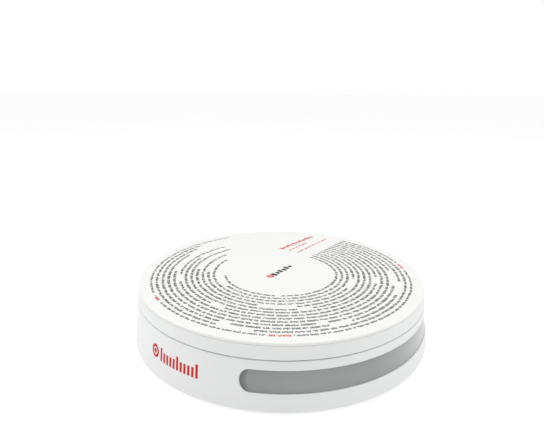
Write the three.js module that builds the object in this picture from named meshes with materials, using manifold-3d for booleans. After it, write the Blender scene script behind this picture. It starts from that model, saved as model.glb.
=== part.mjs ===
// Motorised scanning turntable: a low, round table that turns an object in front of a 3-D scanner.
// It runs from a plug-in supply. A printed top plate sits on a platter, which turns on a central
// spindle and four support rollers. A stepper motor drives it through a compound gear. One side of
// the base has a long, pill-shaped window with a strip of lamps behind it.
//
// Units are millimetres. The z axis is the platter's axis and points up. The turntable rests on
// z = 0, and -y is its front. Angles are in degrees, counter-clockwise from +x, seen from above.

import * as THREE from 'three';
import { mergeVertices } from 'three/addons/utils/BufferGeometryUtils.js';
import Module from 'manifold-3d';

const wasm = await Module();
wasm.setup();

// ---------------------------------------------------------------- driving dimensions

const GAP = 0.3; // clearance between neighbouring pieces

const BASE_RADIUS = 125; // largest radius, at the foot of the base
const OVERALL_HEIGHT = 45;
const DRAFT = 0.5; // how much narrower the side is at the seam
const EDGE_ROUND = 0.8; // rounding of the moulded edges

const BASE_BOTTOM = 1.0; // lower edge of the base, held up by the feet
const SEAM_BOTTOM = 33.4; // top of the fixed base
const SEAM_TOP = 34.6; // bottom of the turning platter
const PLATTER_TOP = 43.0; // the platter's upper face, under the top plate
const PLATTER_THICKNESS = 2.4;
const PLATTER_ROUND = 0.3; // rounding of the platter's upper edge
const SKIRT_INSIDE = 121; // inner radius of the platter's skirt
const HUB_RADIUS = 34; // boss in the middle of the platter that rests on its gear
const PLATE_ROUND = 0.5; // rounding of the top plate's upper edge
const PLATE_CHAMFER = 0.2; // of its lower edge

const WALL_INSIDE = 122.2; // inner face of the base wall
const DECK_THICKNESS = 2.4; // annular deck that closes the base under the platter
const DECK_INSIDE = 78; // opening in the deck for the gears
const LIP_OUTSIDE = 119.6; // raised lip on the deck, which hides the inside from the seam
const LIP_INSIDE = 118;
const LIP_TOP = 36.2;
const BOSS_RADIUS = 4.5; // screw bosses under the deck
const BOSS_BOTTOM = 6.3;

const WINDOW_BOTTOM = 12.6;
const WINDOW_TOP = 27.4;
const WINDOW_CORNER = 7.3; // corner radius, so that its ends are almost half round
const WINDOW_START = -102.6; // the end of the window nearest the front
const WINDOW_END = 17.6;
const WINDOW_RECESS = 0.4; // how far the diffuser sits behind the side
const FLANGE_MARGIN = 2; // how far the diffuser's flange reaches past the window
const LAMP_COUNT = 12;
const LAMP_STRIP = [116.4, 117.6]; // inner and outer radius of the lamps' flexible board
const LAMP_FACE = 118.8; // radius of the lamps' outer faces
const LAMP_WALL = [114.4, 116.1]; // wall on the bottom cover that carries the lamp board

const COVER_BOTTOM = 1.3; // bottom cover
const COVER_TOP = 3.5;
const COVER_RIB_HEIGHT = 2;

const FOOT_RADIUS = 7;
const FOOT_HEIGHT = 2.6;
const FOOT_CIRCLE = 104;
const FOOT_ANGLES = [20, 110, 200, 290];

const BOSS_CIRCLE = 108; // screws that hold the bottom cover
const BOSS_ANGLES = [65, 155, 245, 335];

const CLEARANCE_BORE = 1.8; // radius of a bore that a 3 mm screw passes through
const THREAD_BORE = 1.4; // radius of a bore that a small screw cuts into

const BEARING_BOTTOM = 14.5;
const BEARING_TOP = 21.5;
const BEARING_INNER = [4, 5.9]; // inner and outer radius of the inner ring
const BEARING_OUTER = [9.1, 11]; // the same for the outer ring
const BALL_RADIUS = 1.35;
const BALL_COUNT = 7;
const TOWER_RADIUS = 15.5; // hub tower that holds the bearing
const TOWER_BORE = 9.5;
const TOWER_SEAT = 11.4;

const SPINDLE_RADIUS = 3.7;
const SPINDLE_COLLAR = 5.7;
const SPINDLE_BOTTOM = 11.5;
const SPINDLE_GROOVE = 3; // radius of the groove for its clip
const SPINDLE_HEAD = 3; // how far it reaches into the platter's hub
const SPINDLE_FLANGE = 16; // radius of the flange that the gear screws pass through
const FLANGE_BOTTOM = 27.0;
const GEAR_SCREW_CIRCLE = 11;
const GEAR_SCREW_ANGLES = [0, 120, 240];

const GEAR_PRESSURE = 25; // pressure angle of every gear
const BACKLASH = 0.1; // taken off each flank at the pitch circle
const FINE_MODULE = 1.0; // motor pinion and first wheel
const COARSE_MODULE = 1.5; // second pinion and platter gear
const MOTOR_TEETH = 12;
const WHEEL_TEETH = 48;
const PINION_TEETH = 12;
const PLATTER_TEETH = 72;

const WHEEL_BOTTOM = 24.2;
const WHEEL_TOP = 27.8;
const PINION_TOP = 33.9;
const PLATTER_GEAR_BOTTOM = 29.7;
const PLATTER_GEAR_TOP = 33.7;

const COMPOUND_ANGLE = 200; // where the compound gear stands around the spindle
const MOTOR_DIRECTION = 260; // direction from the compound gear to the motor
const MOTOR_SIDE = 42.3;
const MOTOR_BOTTOM = 4.7;
const MOTOR_TOP = 22.3;
const MOTOR_CORNER = 4; // chamfer of its vertical edges
const MOTOR_SCREW = 15.5; // its screws stand at this distance from its axis, in x and in y
const PILOT_RADIUS = 11; // round boss that centres the motor in its bracket
const SHAFT_RADIUS = 2.5;
const BRACKET_BOTTOM = 22.8;
const BRACKET_TOP = 23.8;
const BRACKET_REACH = 27; // from the motor's axis to each bracket screw
const BRACKET_EAR = 6; // half width of the bracket's two ears
const GEAR_PIN_RADIUS = 1.5;
const GEAR_PIN_BOTTOM = 12;
const GEAR_PIN_TOP = 35.6;

const ROLLER_RADIUS = 5;
const ROLLER_WIDTH = 5;
const ROLLER_CIRCLE = 100;
const ROLLER_PIN_RADIUS = 1;
const TRACK_BOTTOM = 37.2; // underside of the platter's track
const TRACK_HALF_WIDTH = 5;

const HOME_CIRCLE = 86; // where the home magnet passes over its sensor
const HOME_ANGLE = 90;
const MAGNET_RADIUS = 3;
const MAGNET_HEIGHT = 2;

const BOARD_BOTTOM = 8;
const BOARD_TOP = 9.6;
const BOARD_POSTS = [[-22, 87.5], [30, 87.5]]; // x and y of the board's two screws
const REAR_AXIS_Z = 15; // height of the power socket and the button
const SOCKET_X = 12;
const BUTTON_X = -14;
const BUTTON_RADIUS = 5;
const BUTTON_FACE = 124.8; // how far out the button's face stands

const ROUND = 60; // segments of a full large circle
const SMALL_ROUND = 16; // segments of a full small circle

// ---------------------------------------------------------------- sizes that follow

const SIDE_RADIUS = BASE_RADIUS - DRAFT; // side radius at and above the seam
const COVER_RADIUS = WALL_INSIDE - 0.4;
const PLATE_BOTTOM = PLATTER_TOP + GAP;
const PLATTER_FLOOR = PLATTER_TOP - PLATTER_THICKNESS; // underside of the platter's disc
const FLANGE_TOP = PLATTER_GEAR_BOTTOM - GAP;
const COMPOUND_DISTANCE = COARSE_MODULE * (PLATTER_TEETH + PINION_TEETH) / 2;
const MOTOR_DISTANCE = FINE_MODULE * (WHEEL_TEETH + MOTOR_TEETH) / 2;
const COMPOUND_AXIS = polar(COMPOUND_DISTANCE, COMPOUND_ANGLE);
const MOTOR_AXIS = COMPOUND_AXIS.clone().add(polar(MOTOR_DISTANCE, MOTOR_DIRECTION));
const MOTOR_TURN = MOTOR_DIRECTION - 90; // turns the motor's own x axis along the bracket
const BALL_CIRCLE = (BEARING_INNER[1] + BEARING_OUTER[0]) / 2;
const DECK_BOTTOM = SEAM_BOTTOM - DECK_THICKNESS;
const ROLLER_AXIS_Z = TRACK_BOTTOM - GAP - ROLLER_RADIUS;

// ---------------------------------------------------------------- geometry helpers

function radians(degrees) {
  return THREE.MathUtils.degToRad(degrees);
}

function polar(radius, angle) {
  return new THREE.Vector2(radius * Math.cos(radians(angle)), radius * Math.sin(radians(angle)));
}

// Six times the signed volume of an indexed geometry: positive when its faces point out.
function signedVolume(position, index) {
  const a = new THREE.Vector3();
  const b = new THREE.Vector3();
  const c = new THREE.Vector3();
  let total = 0;
  for (let i = 0; i < index.length; i += 3) {
    a.fromBufferAttribute(position, index[i]);
    b.fromBufferAttribute(position, index[i + 1]);
    c.fromBufferAttribute(position, index[i + 2]);
    total += a.dot(b.cross(c));
  }
  return total;
}

// The same surface with shared vertices, no empty triangles and its faces pointing out.
function closed(geometry) {
  const bare = geometry.clone();
  bare.deleteAttribute('normal');
  bare.deleteAttribute('uv');
  const merged = mergeVertices(bare, 1e-5);
  const index = [];
  for (let i = 0; i < merged.index.count; i += 3) {
    const [a, b, c] = [0, 1, 2].map((k) => merged.index.getX(i + k));
    if (a !== b && b !== c && c !== a) index.push(a, b, c);
  }
  if (signedVolume(merged.attributes.position, index) < 0) index.reverse();
  merged.setIndex(index);
  return merged;
}

function toSolid(geometry) {
  const vertProperties = new Float32Array(geometry.attributes.position.array);
  const triVerts = new Uint32Array(geometry.index.array);
  return new wasm.Manifold(new wasm.Mesh({ numProp: 3, vertProperties, triVerts }));
}

function toGeometry(solid) {
  const mesh = solid.getMesh();
  const geometry = new THREE.BufferGeometry();
  geometry.setAttribute('position', new THREE.BufferAttribute(mesh.vertProperties, 3));
  geometry.setIndex(new THREE.BufferAttribute(mesh.triVerts, 1));
  return geometry;
}

function join(...pieces) {
  return toGeometry(pieces.map(toSolid).reduce((sum, piece) => sum.add(piece)));
}

function cut(body, ...tools) {
  return toGeometry(tools.map(toSolid).reduce((rest, tool) => rest.subtract(tool), toSolid(body)));
}

function common(first, second) {
  return toGeometry(toSolid(first).intersect(toSolid(second)));
}

// A body of revolution about z from [radius, z] points.
function lathe(profile, segments = ROUND) {
  const points = profile.map(([radius, z]) => new THREE.Vector2(radius, z));
  const geometry = new THREE.LatheGeometry(points, segments);
  geometry.rotateX(Math.PI / 2);
  return closed(geometry);
}

// Points of a round edge in a lathe profile, from one angle to another about [radius, z].
function roundEdge(radius, z, rounding, from, to, steps = 2) {
  return Array.from({ length: steps + 1 }, (_, i) => {
    const angle = radians(from + (to - from) * i / steps);
    return [radius + rounding * Math.cos(angle), z + rounding * Math.sin(angle)];
  });
}

function disc(radius, bottom, top, segments = SMALL_ROUND) {
  return lathe([[0, bottom], [radius, bottom], [radius, top], [0, top]], segments);
}

function ring(inside, outside, bottom, top, segments = SMALL_ROUND) {
  const profile = [[inside, bottom], [outside, bottom], [outside, top], [inside, top], [inside, bottom]];
  return lathe(profile, segments);
}

function box(x0, x1, y0, y1, z0, z1) {
  const geometry = new THREE.BoxGeometry(x1 - x0, y1 - y0, z1 - z0);
  geometry.translate((x0 + x1) / 2, (y0 + y1) / 2, (z0 + z1) / 2);
  return closed(geometry);
}

function prism(shape, bottom, top, curveSegments = 6) {
  const depth = top - bottom;
  const geometry = new THREE.ExtrudeGeometry(shape, { depth, curveSegments, bevelEnabled: false });
  geometry.translate(0, 0, bottom);
  return closed(geometry);
}

function moved(geometry, x, y, z = 0) {
  return geometry.clone().translate(x, y, z);
}

function turned(geometry, angle) {
  return geometry.clone().rotateZ(radians(angle));
}

// Lays a body made about z along +y, with its z = 0 at the origin.
function alongY(geometry) {
  return geometry.clone().rotateX(-Math.PI / 2);
}

// Lays a body made about z along +x, with its z = 0 at the origin.
function alongX(geometry) {
  return geometry.clone().rotateY(Math.PI / 2);
}

// Part of a flat ring between two angles.
function arcBand(inside, outside, bottom, top, start, end) {
  const shape = new THREE.Shape();
  shape.absarc(0, 0, outside, radians(start), radians(end), false);
  shape.absarc(0, 0, inside, radians(end), radians(start), true);
  return prism(shape, bottom, top, Math.ceil((end - start) / 360 * ROUND));
}

// A round-ended band around the side: the window's outline, grown by a margin.
function windowBand(inside, outside, margin) {
  const degrees = 180 / Math.PI / SIDE_RADIUS;
  const corner = WINDOW_CORNER + margin;
  const start = WINDOW_START - margin * degrees;
  const end = WINDOW_END + margin * degrees;
  const bottom = WINDOW_BOTTOM - margin;
  const top = WINDOW_TOP + margin;
  const inset = corner * degrees;
  const pieces = [
    arcBand(inside, outside, bottom, top, start + inset, end - inset),
    arcBand(inside, outside, bottom + corner, top - corner, start, end),
  ];
  const roundCorner = alongX(disc(corner, inside, outside));
  for (const angle of [start + inset, end - inset]) {
    for (const z of [bottom + corner, top - corner]) {
      pieces.push(moved(turned(roundCorner, angle), 0, 0, z));
    }
  }
  return join(...pieces);
}

// A C-shaped clip that snaps into a groove.
function retainingClip(inside, outside, thickness) {
  const slot = box(0, outside + 1, -inside * 0.7, inside * 0.7, -1, thickness + 1);
  return cut(ring(inside, outside, 0, thickness), slot);
}

// A socket screw with its head up from z = 0 and its shank down.
function socketScrew(headRadius, headHeight, shankRadius, shankLength) {
  const profile = [
    [0, -shankLength],
    [shankRadius, -shankLength],
    [shankRadius, 0],
    [headRadius, 0],
    [headRadius, headHeight * 0.5],
    [headRadius * 0.75, headHeight],
    [0, headHeight],
  ];
  const hexSocket = disc(headRadius * 0.5, headHeight * 0.4, headHeight + 1, 6);
  return cut(lathe(profile, 10), hexSocket);
}

// A closed tube along a smooth curve through the given points.
function cable(points, radius, steps) {
  const curve = new THREE.CatmullRomCurve3(points.map((point) => new THREE.Vector3(...point)));
  const section = new THREE.Shape();
  section.absarc(0, 0, radius, 0, 2 * Math.PI, false);
  const options = { steps, curveSegments: 4, bevelEnabled: false, extrudePath: curve };
  return closed(new THREE.ExtrudeGeometry(section, options));
}

// ---------------------------------------------------------------- gears

function involute(angle) {
  return Math.tan(angle) - angle;
}

// Outline of a spur gear. Its involute flanks have a point in the middle on small gears, where they
// are strongly curved, and are straight on large ones. Tooth 0 is centred on the +x axis.
function gearShape(teeth, module, boreRadius) {
  const pitchRadius = module * teeth / 2;
  const baseRadius = pitchRadius * Math.cos(radians(GEAR_PRESSURE));
  const tipRadius = pitchRadius + module;
  const rootRadius = pitchRadius - 1.25 * module;
  const halfPitchAngle = Math.PI / (2 * teeth) - BACKLASH / pitchRadius;
  const halfAngle = (radius) => {
    const roll = Math.acos(Math.min(1, baseRadius / radius));
    return halfPitchAngle + involute(radians(GEAR_PRESSURE)) - involute(roll);
  };
  const flankStart = Math.max(baseRadius, rootRadius);
  const steps = teeth > 20 ? [0, 1] : [0, 0.5, 1];
  const flankRadii = steps.map((t) => flankStart + (tipRadius - flankStart) * t);
  const radii = rootRadius < baseRadius ? [rootRadius, ...flankRadii] : flankRadii;
  const points = [];
  for (let tooth = 0; tooth < teeth; tooth += 1) {
    const centre = 2 * Math.PI * tooth / teeth;
    for (const side of [-1, 1]) {
      const ordered = side < 0 ? radii : [...radii].reverse();
      for (const radius of ordered) {
        const angle = centre + side * halfAngle(radius);
        points.push(new THREE.Vector2(radius * Math.cos(angle), radius * Math.sin(angle)));
      }
    }
  }
  const shape = new THREE.Shape(points);
  const bore = new THREE.Path();
  bore.absarc(0, 0, boreRadius, 0, 2 * Math.PI, true);
  shape.holes.push(bore);
  return shape;
}

// Turn that puts a gap of a gear at the given direction.
function gapTowards(direction, teeth) {
  return direction + 180 / teeth;
}

// ---------------------------------------------------------------- materials

function finish(color, roughness, metalness = 0) {
  return new THREE.MeshStandardMaterial({ color, roughness, metalness, flatShading: true });
}

const whitePlastic = finish(0xe8e9e6, 0.45);
const platePlastic = finish(0xf8f8f6, 0.4);
const greyDiffuser = finish(0x9a9d9c, 0.35);
const rubber = finish(0x2a2b2c, 0.9);
const steel = finish(0xb4b7ba, 0.3, 1);
const motorMetal = finish(0x3a3c40, 0.45, 0.6);
const gearPlastic = finish(0xe6e0cf, 0.5);
const brass = finish(0xc6a35a, 0.35, 1);
const boardGreen = finish(0x1f5a3c, 0.5);
const blackPlastic = finish(0x1d1e20, 0.5);
const shieldMetal = finish(0xc9ccce, 0.3, 1);
const cableJacket = finish(0x26272a, 0.6);

// ---------------------------------------------------------------- base

// Screw boss that hangs from the deck and takes a cover screw from below.
function deckBoss() {
  return disc(BOSS_RADIUS, BOSS_BOTTOM, DECK_BOTTOM + 1);
}

// Two cheeks that carry a roller's pin, either side of its pocket in the deck.
function rollerCheek(side) {
  const inner = ROLLER_CIRCLE + side * (ROLLER_WIDTH / 2 + 0.8);
  const outer = inner + side * 3;
  const [x0, x1] = side < 0 ? [outer, inner] : [inner, outer];
  return box(x0, x1, -3, 3, ROLLER_AXIS_Z - 2.6, ROLLER_AXIS_Z + 2.6);
}

function rollerPocket() {
  const halfWidth = ROLLER_WIDTH / 2 + 0.5;
  const halfLength = ROLLER_RADIUS + 0.8;
  const x0 = ROLLER_CIRCLE - halfWidth;
  return box(x0, x0 + 2 * halfWidth, -halfLength, halfLength, DECK_BOTTOM - 5, SEAM_BOTTOM + 5);
}

function baseShell() {
  const profile = [
    [WALL_INSIDE, BASE_BOTTOM],
    ...roundEdge(BASE_RADIUS - EDGE_ROUND, BASE_BOTTOM + EDGE_ROUND, EDGE_ROUND, -90, 0),
    ...roundEdge(SIDE_RADIUS - EDGE_ROUND, SEAM_BOTTOM - EDGE_ROUND, EDGE_ROUND, 0, 90),
    [LIP_OUTSIDE, SEAM_BOTTOM],
    [LIP_OUTSIDE, LIP_TOP],
    [LIP_INSIDE, LIP_TOP],
    [LIP_INSIDE, SEAM_BOTTOM],
    [DECK_INSIDE, SEAM_BOTTOM],
    [DECK_INSIDE, DECK_BOTTOM],
    [WALL_INSIDE, DECK_BOTTOM],
    [WALL_INSIDE, BASE_BOTTOM],
  ];
  const additions = [];
  const cuts = [windowBand(WALL_INSIDE - 3, BASE_RADIUS + 3, 0)];
  for (const angle of BOSS_ANGLES) {
    additions.push(turned(moved(deckBoss(), BOSS_CIRCLE, 0), angle));
    cuts.push(turned(moved(disc(CLEARANCE_BORE, BOSS_BOTTOM - 1, 20), BOSS_CIRCLE, 0), angle));
  }
  const pinBore = moved(alongX(disc(ROLLER_PIN_RADIUS + GAP, -9, 9, 12)), ROLLER_CIRCLE, 0, ROLLER_AXIS_Z);
  for (const angle of FOOT_ANGLES) {
    additions.push(turned(rollerCheek(-1), angle), turned(rollerCheek(1), angle));
    cuts.push(turned(rollerPocket(), angle), turned(pinBore, angle));
  }
  const rearHole = alongY(disc(BUTTON_RADIUS + GAP, WALL_INSIDE - 6, BASE_RADIUS + 3));
  cuts.push(moved(rearHole, SOCKET_X, 0, REAR_AXIS_Z), moved(rearHole, BUTTON_X, 0, REAR_AXIS_Z));
  return cut(join(lathe(profile), ...additions), ...cuts);
}

// Hub tower in the middle of the bottom cover: its seat holds the spindle bearing.
function hubTower() {
  const towerTop = BEARING_TOP + 0.2;
  return lathe([
    [TOWER_BORE, COVER_TOP - 0.5],
    [TOWER_RADIUS, COVER_TOP - 0.5],
    [TOWER_RADIUS, towerTop],
    [TOWER_SEAT, towerTop],
    [TOWER_SEAT, BEARING_BOTTOM - GAP],
    [TOWER_BORE, BEARING_BOTTOM - GAP],
    [TOWER_BORE, COVER_TOP - 0.5],
  ], 24);
}

// A post on the bottom cover, with a bore down from its top.
function post(radius, top, boreRadius, boreDepth) {
  const bore = disc(boreRadius, top - boreDepth, top + 1, 12);
  return cut(disc(radius, COVER_TOP - 0.5, top, 16), bore);
}

function bottomCover() {
  const ribs = [0, 45, 90, 135, 180, 270, 315].map((angle) =>
    turned(box(TOWER_RADIUS - 0.5, 112, -0.8, 0.8, COVER_TOP - 0.5, COVER_TOP + COVER_RIB_HEIGHT), angle));
  const lampWall = arcBand(...LAMP_WALL, COVER_TOP - 0.5, 22, WINDOW_START + 2, WINDOW_END - 2);
  const cups = BOSS_ANGLES.map((angle) => turned(moved(disc(5, 3, 6), BOSS_CIRCLE, 0), angle));
  const additions = [
    hubTower(),
    ...ribs,
    lampWall,
    ...cups,
    moved(post(4, WHEEL_BOTTOM - 0.6, GEAR_PIN_RADIUS + GAP, 12), COMPOUND_AXIS.x, COMPOUND_AXIS.y),
    ...bracketPosts().map(({ x, y }) => moved(post(4, BRACKET_BOTTOM - GAP, THREAD_BORE + GAP, 9), x, y)),
    ...BOARD_POSTS.map(([x, y]) => moved(post(3, BOARD_BOTTOM - GAP, THREAD_BORE, 3.5), x, y)),
  ];
  const cuts = [];
  for (const angle of BOSS_ANGLES) {
    cuts.push(turned(moved(disc(3.3, 0, 4), BOSS_CIRCLE, 0), angle));
    cuts.push(turned(moved(disc(CLEARANCE_BORE, 3, 7), BOSS_CIRCLE, 0), angle));
  }
  for (const angle of FOOT_ANGLES) {
    cuts.push(turned(moved(disc(FOOT_RADIUS + GAP, 0, FOOT_HEIGHT + GAP), FOOT_CIRCLE, 0), angle));
  }
  return cut(join(disc(COVER_RADIUS, COVER_BOTTOM, COVER_TOP, ROUND), ...additions), ...cuts);
}

function lightWindow() {
  const pane = common(
    windowBand(WALL_INSIDE - 3, BASE_RADIUS, -GAP),
    ring(WALL_INSIDE - 1, SIDE_RADIUS - WINDOW_RECESS, 0, SEAM_TOP, ROUND),
  );
  const flange = common(
    windowBand(WALL_INSIDE - 4, BASE_RADIUS, FLANGE_MARGIN),
    ring(COVER_RADIUS - 2, COVER_RADIUS, 0, SEAM_TOP, ROUND),
  );
  return join(pane, flange);
}

// Flexible lamp board that follows the window, with a row of lamps on its outer face.
function lightStrip() {
  const start = WINDOW_START + 3;
  const end = WINDOW_END - 3;
  const pieces = [arcBand(...LAMP_STRIP, 13, 25, start, end)];
  for (let i = 0; i < LAMP_COUNT; i += 1) {
    const angle = start + (end - start) * (i + 0.5) / LAMP_COUNT;
    pieces.push(turned(box(LAMP_STRIP[0] + 0.6, LAMP_FACE, -2.5, 2.5, 16.5, 21.5), angle));
  }
  return join(...pieces);
}

function foot() {
  return lathe([
    [0, 0],
    [FOOT_RADIUS - 1, 0],
    [FOOT_RADIUS, 1],
    [FOOT_RADIUS, FOOT_HEIGHT],
    [0, FOOT_HEIGHT],
  ], SMALL_ROUND);
}

function coverScrew() {
  return socketScrew(2.8, 1.7, 1.5, 12).rotateX(Math.PI);
}

// ---------------------------------------------------------------- motor and its bracket

// The two places where the bracket is screwed down.
function bracketPosts() {
  return [-1, 1].map((side) => MOTOR_AXIS.clone().add(polar(side * BRACKET_REACH, MOTOR_TURN)));
}

function motorBody() {
  const half = MOTOR_SIDE / 2;
  const outline = new THREE.Shape();
  outline.moveTo(half - MOTOR_CORNER, -half);
  for (const quarter of [0, 1, 2, 3]) {
    const from = new THREE.Vector2(half, -half + MOTOR_CORNER);
    const to = new THREE.Vector2(half, half - MOTOR_CORNER);
    for (const point of [from, to]) {
      point.rotateAround(new THREE.Vector2(), quarter * Math.PI / 2);
      outline.lineTo(point.x, point.y);
    }
  }
  const housing = prism(outline, MOTOR_BOTTOM, MOTOR_TOP);
  const pilot = disc(PILOT_RADIUS, MOTOR_TOP - 1, BRACKET_TOP - 0.2);
  const plug = box(7, 17, -25, -20, MOTOR_BOTTOM + 2, MOTOR_BOTTOM + 9);
  const shaftBore = disc(SHAFT_RADIUS + GAP, MOTOR_BOTTOM + 7, BRACKET_TOP + 1);
  const screwBores = [-MOTOR_SCREW, MOTOR_SCREW].map((x) =>
    moved(disc(THREAD_BORE + GAP, MOTOR_TOP - 6, MOTOR_TOP + 1), x, MOTOR_SCREW));
  return cut(join(housing, pilot, plug), shaftBore, ...screwBores);
}

function motorBracket() {
  const half = MOTOR_SIDE / 2;
  const plate = box(-half, half, -half, half, BRACKET_BOTTOM, BRACKET_TOP);
  const ears = box(-BRACKET_REACH, BRACKET_REACH, -BRACKET_EAR, BRACKET_EAR, BRACKET_BOTTOM, BRACKET_TOP);
  const earEnd = disc(BRACKET_EAR, BRACKET_BOTTOM, BRACKET_TOP);
  const ends = [-1, 1].map((side) => moved(earEnd, side * BRACKET_REACH, 0));
  const screwBore = disc(CLEARANCE_BORE, BRACKET_BOTTOM - 1, BRACKET_TOP + 1);
  const bores = [
    disc(PILOT_RADIUS + GAP, BRACKET_BOTTOM - 1, BRACKET_TOP + 1),
    ...[-1, 1].map((side) => moved(screwBore, side * BRACKET_REACH, 0)),
    ...[-1, 1].map((side) => moved(screwBore, side * MOTOR_SCREW, MOTOR_SCREW)),
  ];
  return cut(join(plate, ears, ...ends), ...bores);
}

function motorPinion() {
  return prism(gearShape(MOTOR_TEETH, FINE_MODULE, SHAFT_RADIUS + GAP), 0, WHEEL_TOP - WHEEL_BOTTOM + 0.8);
}

// ---------------------------------------------------------------- compound gear and its pin

// Wheel and pinion moulded as one: the wheel is driven by the motor, the pinion drives the platter.
function compoundGear() {
  const boreRadius = GEAR_PIN_RADIUS + GAP;
  const wheel = prism(gearShape(WHEEL_TEETH, FINE_MODULE, boreRadius), 0, WHEEL_TOP - WHEEL_BOTTOM);
  const pinionShape = gearShape(PINION_TEETH, COARSE_MODULE, boreRadius);
  const pinion = turned(
    prism(pinionShape, WHEEL_TOP - WHEEL_BOTTOM - 0.5, PINION_TOP - WHEEL_BOTTOM),
    gapTowards(COMPOUND_ANGLE + 180, PINION_TEETH) - MOTOR_DIRECTION,
  );
  const pocket = ring(11.5, 19.5, WHEEL_TOP - WHEEL_BOTTOM - 1.2, 6, 20);
  return cut(join(wheel, pinion), pocket);
}

// Steel pin with a groove for its clip near the top.
function gearPin() {
  const grooveBottom = PINION_TOP + 0.2;
  const grooveTop = grooveBottom + 0.8;
  const grooveRadius = GEAR_PIN_RADIUS * 0.7;
  return lathe([
    [0, GEAR_PIN_BOTTOM],
    [GEAR_PIN_RADIUS, GEAR_PIN_BOTTOM],
    [GEAR_PIN_RADIUS, grooveBottom],
    [grooveRadius, grooveBottom],
    [grooveRadius, grooveTop],
    [GEAR_PIN_RADIUS, grooveTop],
    [GEAR_PIN_RADIUS, GEAR_PIN_TOP],
    [0, GEAR_PIN_TOP],
  ], 16);
}

// ---------------------------------------------------------------- platter and spindle

function topPlate() {
  return lathe([
    [0, PLATE_BOTTOM],
    [SIDE_RADIUS - PLATE_CHAMFER, PLATE_BOTTOM],
    [SIDE_RADIUS, PLATE_BOTTOM + PLATE_CHAMFER],
    ...roundEdge(SIDE_RADIUS - PLATE_ROUND, OVERALL_HEIGHT - PLATE_ROUND, PLATE_ROUND, 0, 90),
    [0, OVERALL_HEIGHT],
  ]);
}

function platter() {
  const trackInside = ROLLER_CIRCLE - TRACK_HALF_WIDTH;
  const trackOutside = ROLLER_CIRCLE + TRACK_HALF_WIDTH;
  const profile = [
    [0, PLATTER_TOP],
    ...roundEdge(SIDE_RADIUS - PLATTER_ROUND, PLATTER_TOP - PLATTER_ROUND, PLATTER_ROUND, 90, 0),
    [SIDE_RADIUS, SEAM_TOP],
    [SKIRT_INSIDE, SEAM_TOP],
    [SKIRT_INSIDE, PLATTER_FLOOR],
    [trackOutside, PLATTER_FLOOR],
    [trackOutside, TRACK_BOTTOM],
    [trackInside, TRACK_BOTTOM],
    [trackInside, PLATTER_FLOOR],
    [0, PLATTER_FLOOR],
  ];
  const ribTop = PLATTER_FLOOR + 0.5;
  const hub = ring(SPINDLE_COLLAR + GAP, HUB_RADIUS, PLATTER_GEAR_TOP + GAP, ribTop, 30);
  const ribs = [0, 45, 90, 135, 180, 225, 270, 315].map((angle) =>
    turned(box(HUB_RADIUS - 1, SKIRT_INSIDE + 1, -0.9, 0.9, TRACK_BOTTOM + GAP, ribTop), angle + 22.5));
  const screwBores = GEAR_SCREW_ANGLES.map((angle) =>
    turned(moved(disc(CLEARANCE_BORE, 30, PLATTER_FLOOR), GEAR_SCREW_CIRCLE, 0), angle));
  return cut(join(lathe(profile), hub, ...ribs), ...screwBores);
}

function platterGear() {
  const shape = gearShape(PLATTER_TEETH, COARSE_MODULE, SPINDLE_COLLAR + GAP);
  const thickness = PLATTER_GEAR_TOP - PLATTER_GEAR_BOTTOM;
  const lighteningHoles = [0, 60, 120, 180, 240, 300].map((angle) =>
    turned(moved(disc(6, -1, thickness + 1), 40, 0), angle));
  const screwBores = GEAR_SCREW_ANGLES.map((angle) =>
    turned(moved(disc(CLEARANCE_BORE, -1, thickness + 1), GEAR_SCREW_CIRCLE, 0), angle - COMPOUND_ANGLE));
  return cut(prism(shape, 0, thickness), ...lighteningHoles, ...screwBores);
}

// Steel spindle: a flange under the platter gear, a journal in the bearing and a clip groove.
function spindle() {
  const shoulder = BEARING_TOP + GAP;
  const grooveTop = BEARING_BOTTOM - GAP;
  const grooveBottom = grooveTop - 1;
  const head = PLATTER_GEAR_TOP + SPINDLE_HEAD;
  const body = lathe([
    [0, SPINDLE_BOTTOM],
    [SPINDLE_RADIUS, SPINDLE_BOTTOM],
    [SPINDLE_RADIUS, grooveBottom],
    [SPINDLE_GROOVE, grooveBottom],
    [SPINDLE_GROOVE, grooveTop],
    [SPINDLE_RADIUS, grooveTop],
    [SPINDLE_RADIUS, shoulder],
    [SPINDLE_COLLAR, shoulder],
    [SPINDLE_COLLAR, FLANGE_BOTTOM],
    [SPINDLE_FLANGE, FLANGE_BOTTOM],
    [SPINDLE_FLANGE, FLANGE_TOP],
    [SPINDLE_COLLAR, FLANGE_TOP],
    [SPINDLE_COLLAR, head],
    [0, head],
  ], 24);
  const bores = GEAR_SCREW_ANGLES.map((angle) =>
    turned(moved(disc(CLEARANCE_BORE, FLANGE_BOTTOM - 1, FLANGE_TOP + 1), GEAR_SCREW_CIRCLE, 0), angle));
  return cut(body, ...bores);
}

// Ball set of the spindle bearing, with the balls held in their cage.
function ballCage() {
  const middle = (BEARING_BOTTOM + BEARING_TOP) / 2;
  const pieces = [ring(BALL_CIRCLE - 0.6, BALL_CIRCLE + 0.6, middle - 0.8, middle + 0.8, 24)];
  for (let i = 0; i < BALL_COUNT; i += 1) {
    const ball = closed(new THREE.SphereGeometry(BALL_RADIUS, 8, 5));
    pieces.push(turned(moved(ball, BALL_CIRCLE, 0, middle), 360 * i / BALL_COUNT));
  }
  return join(...pieces);
}

// ---------------------------------------------------------------- support rollers

function roller() {
  const half = ROLLER_WIDTH / 2;
  const bore = ROLLER_PIN_RADIUS + GAP;
  const chamfer = 0.5;
  return lathe([
    [bore, -half],
    [ROLLER_RADIUS - chamfer, -half],
    [ROLLER_RADIUS, -half + chamfer],
    [ROLLER_RADIUS, half - chamfer],
    [ROLLER_RADIUS - chamfer, half],
    [bore, half],
    [bore, -half],
  ], 18);
}

// ---------------------------------------------------------------- electronics at the rear

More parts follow.
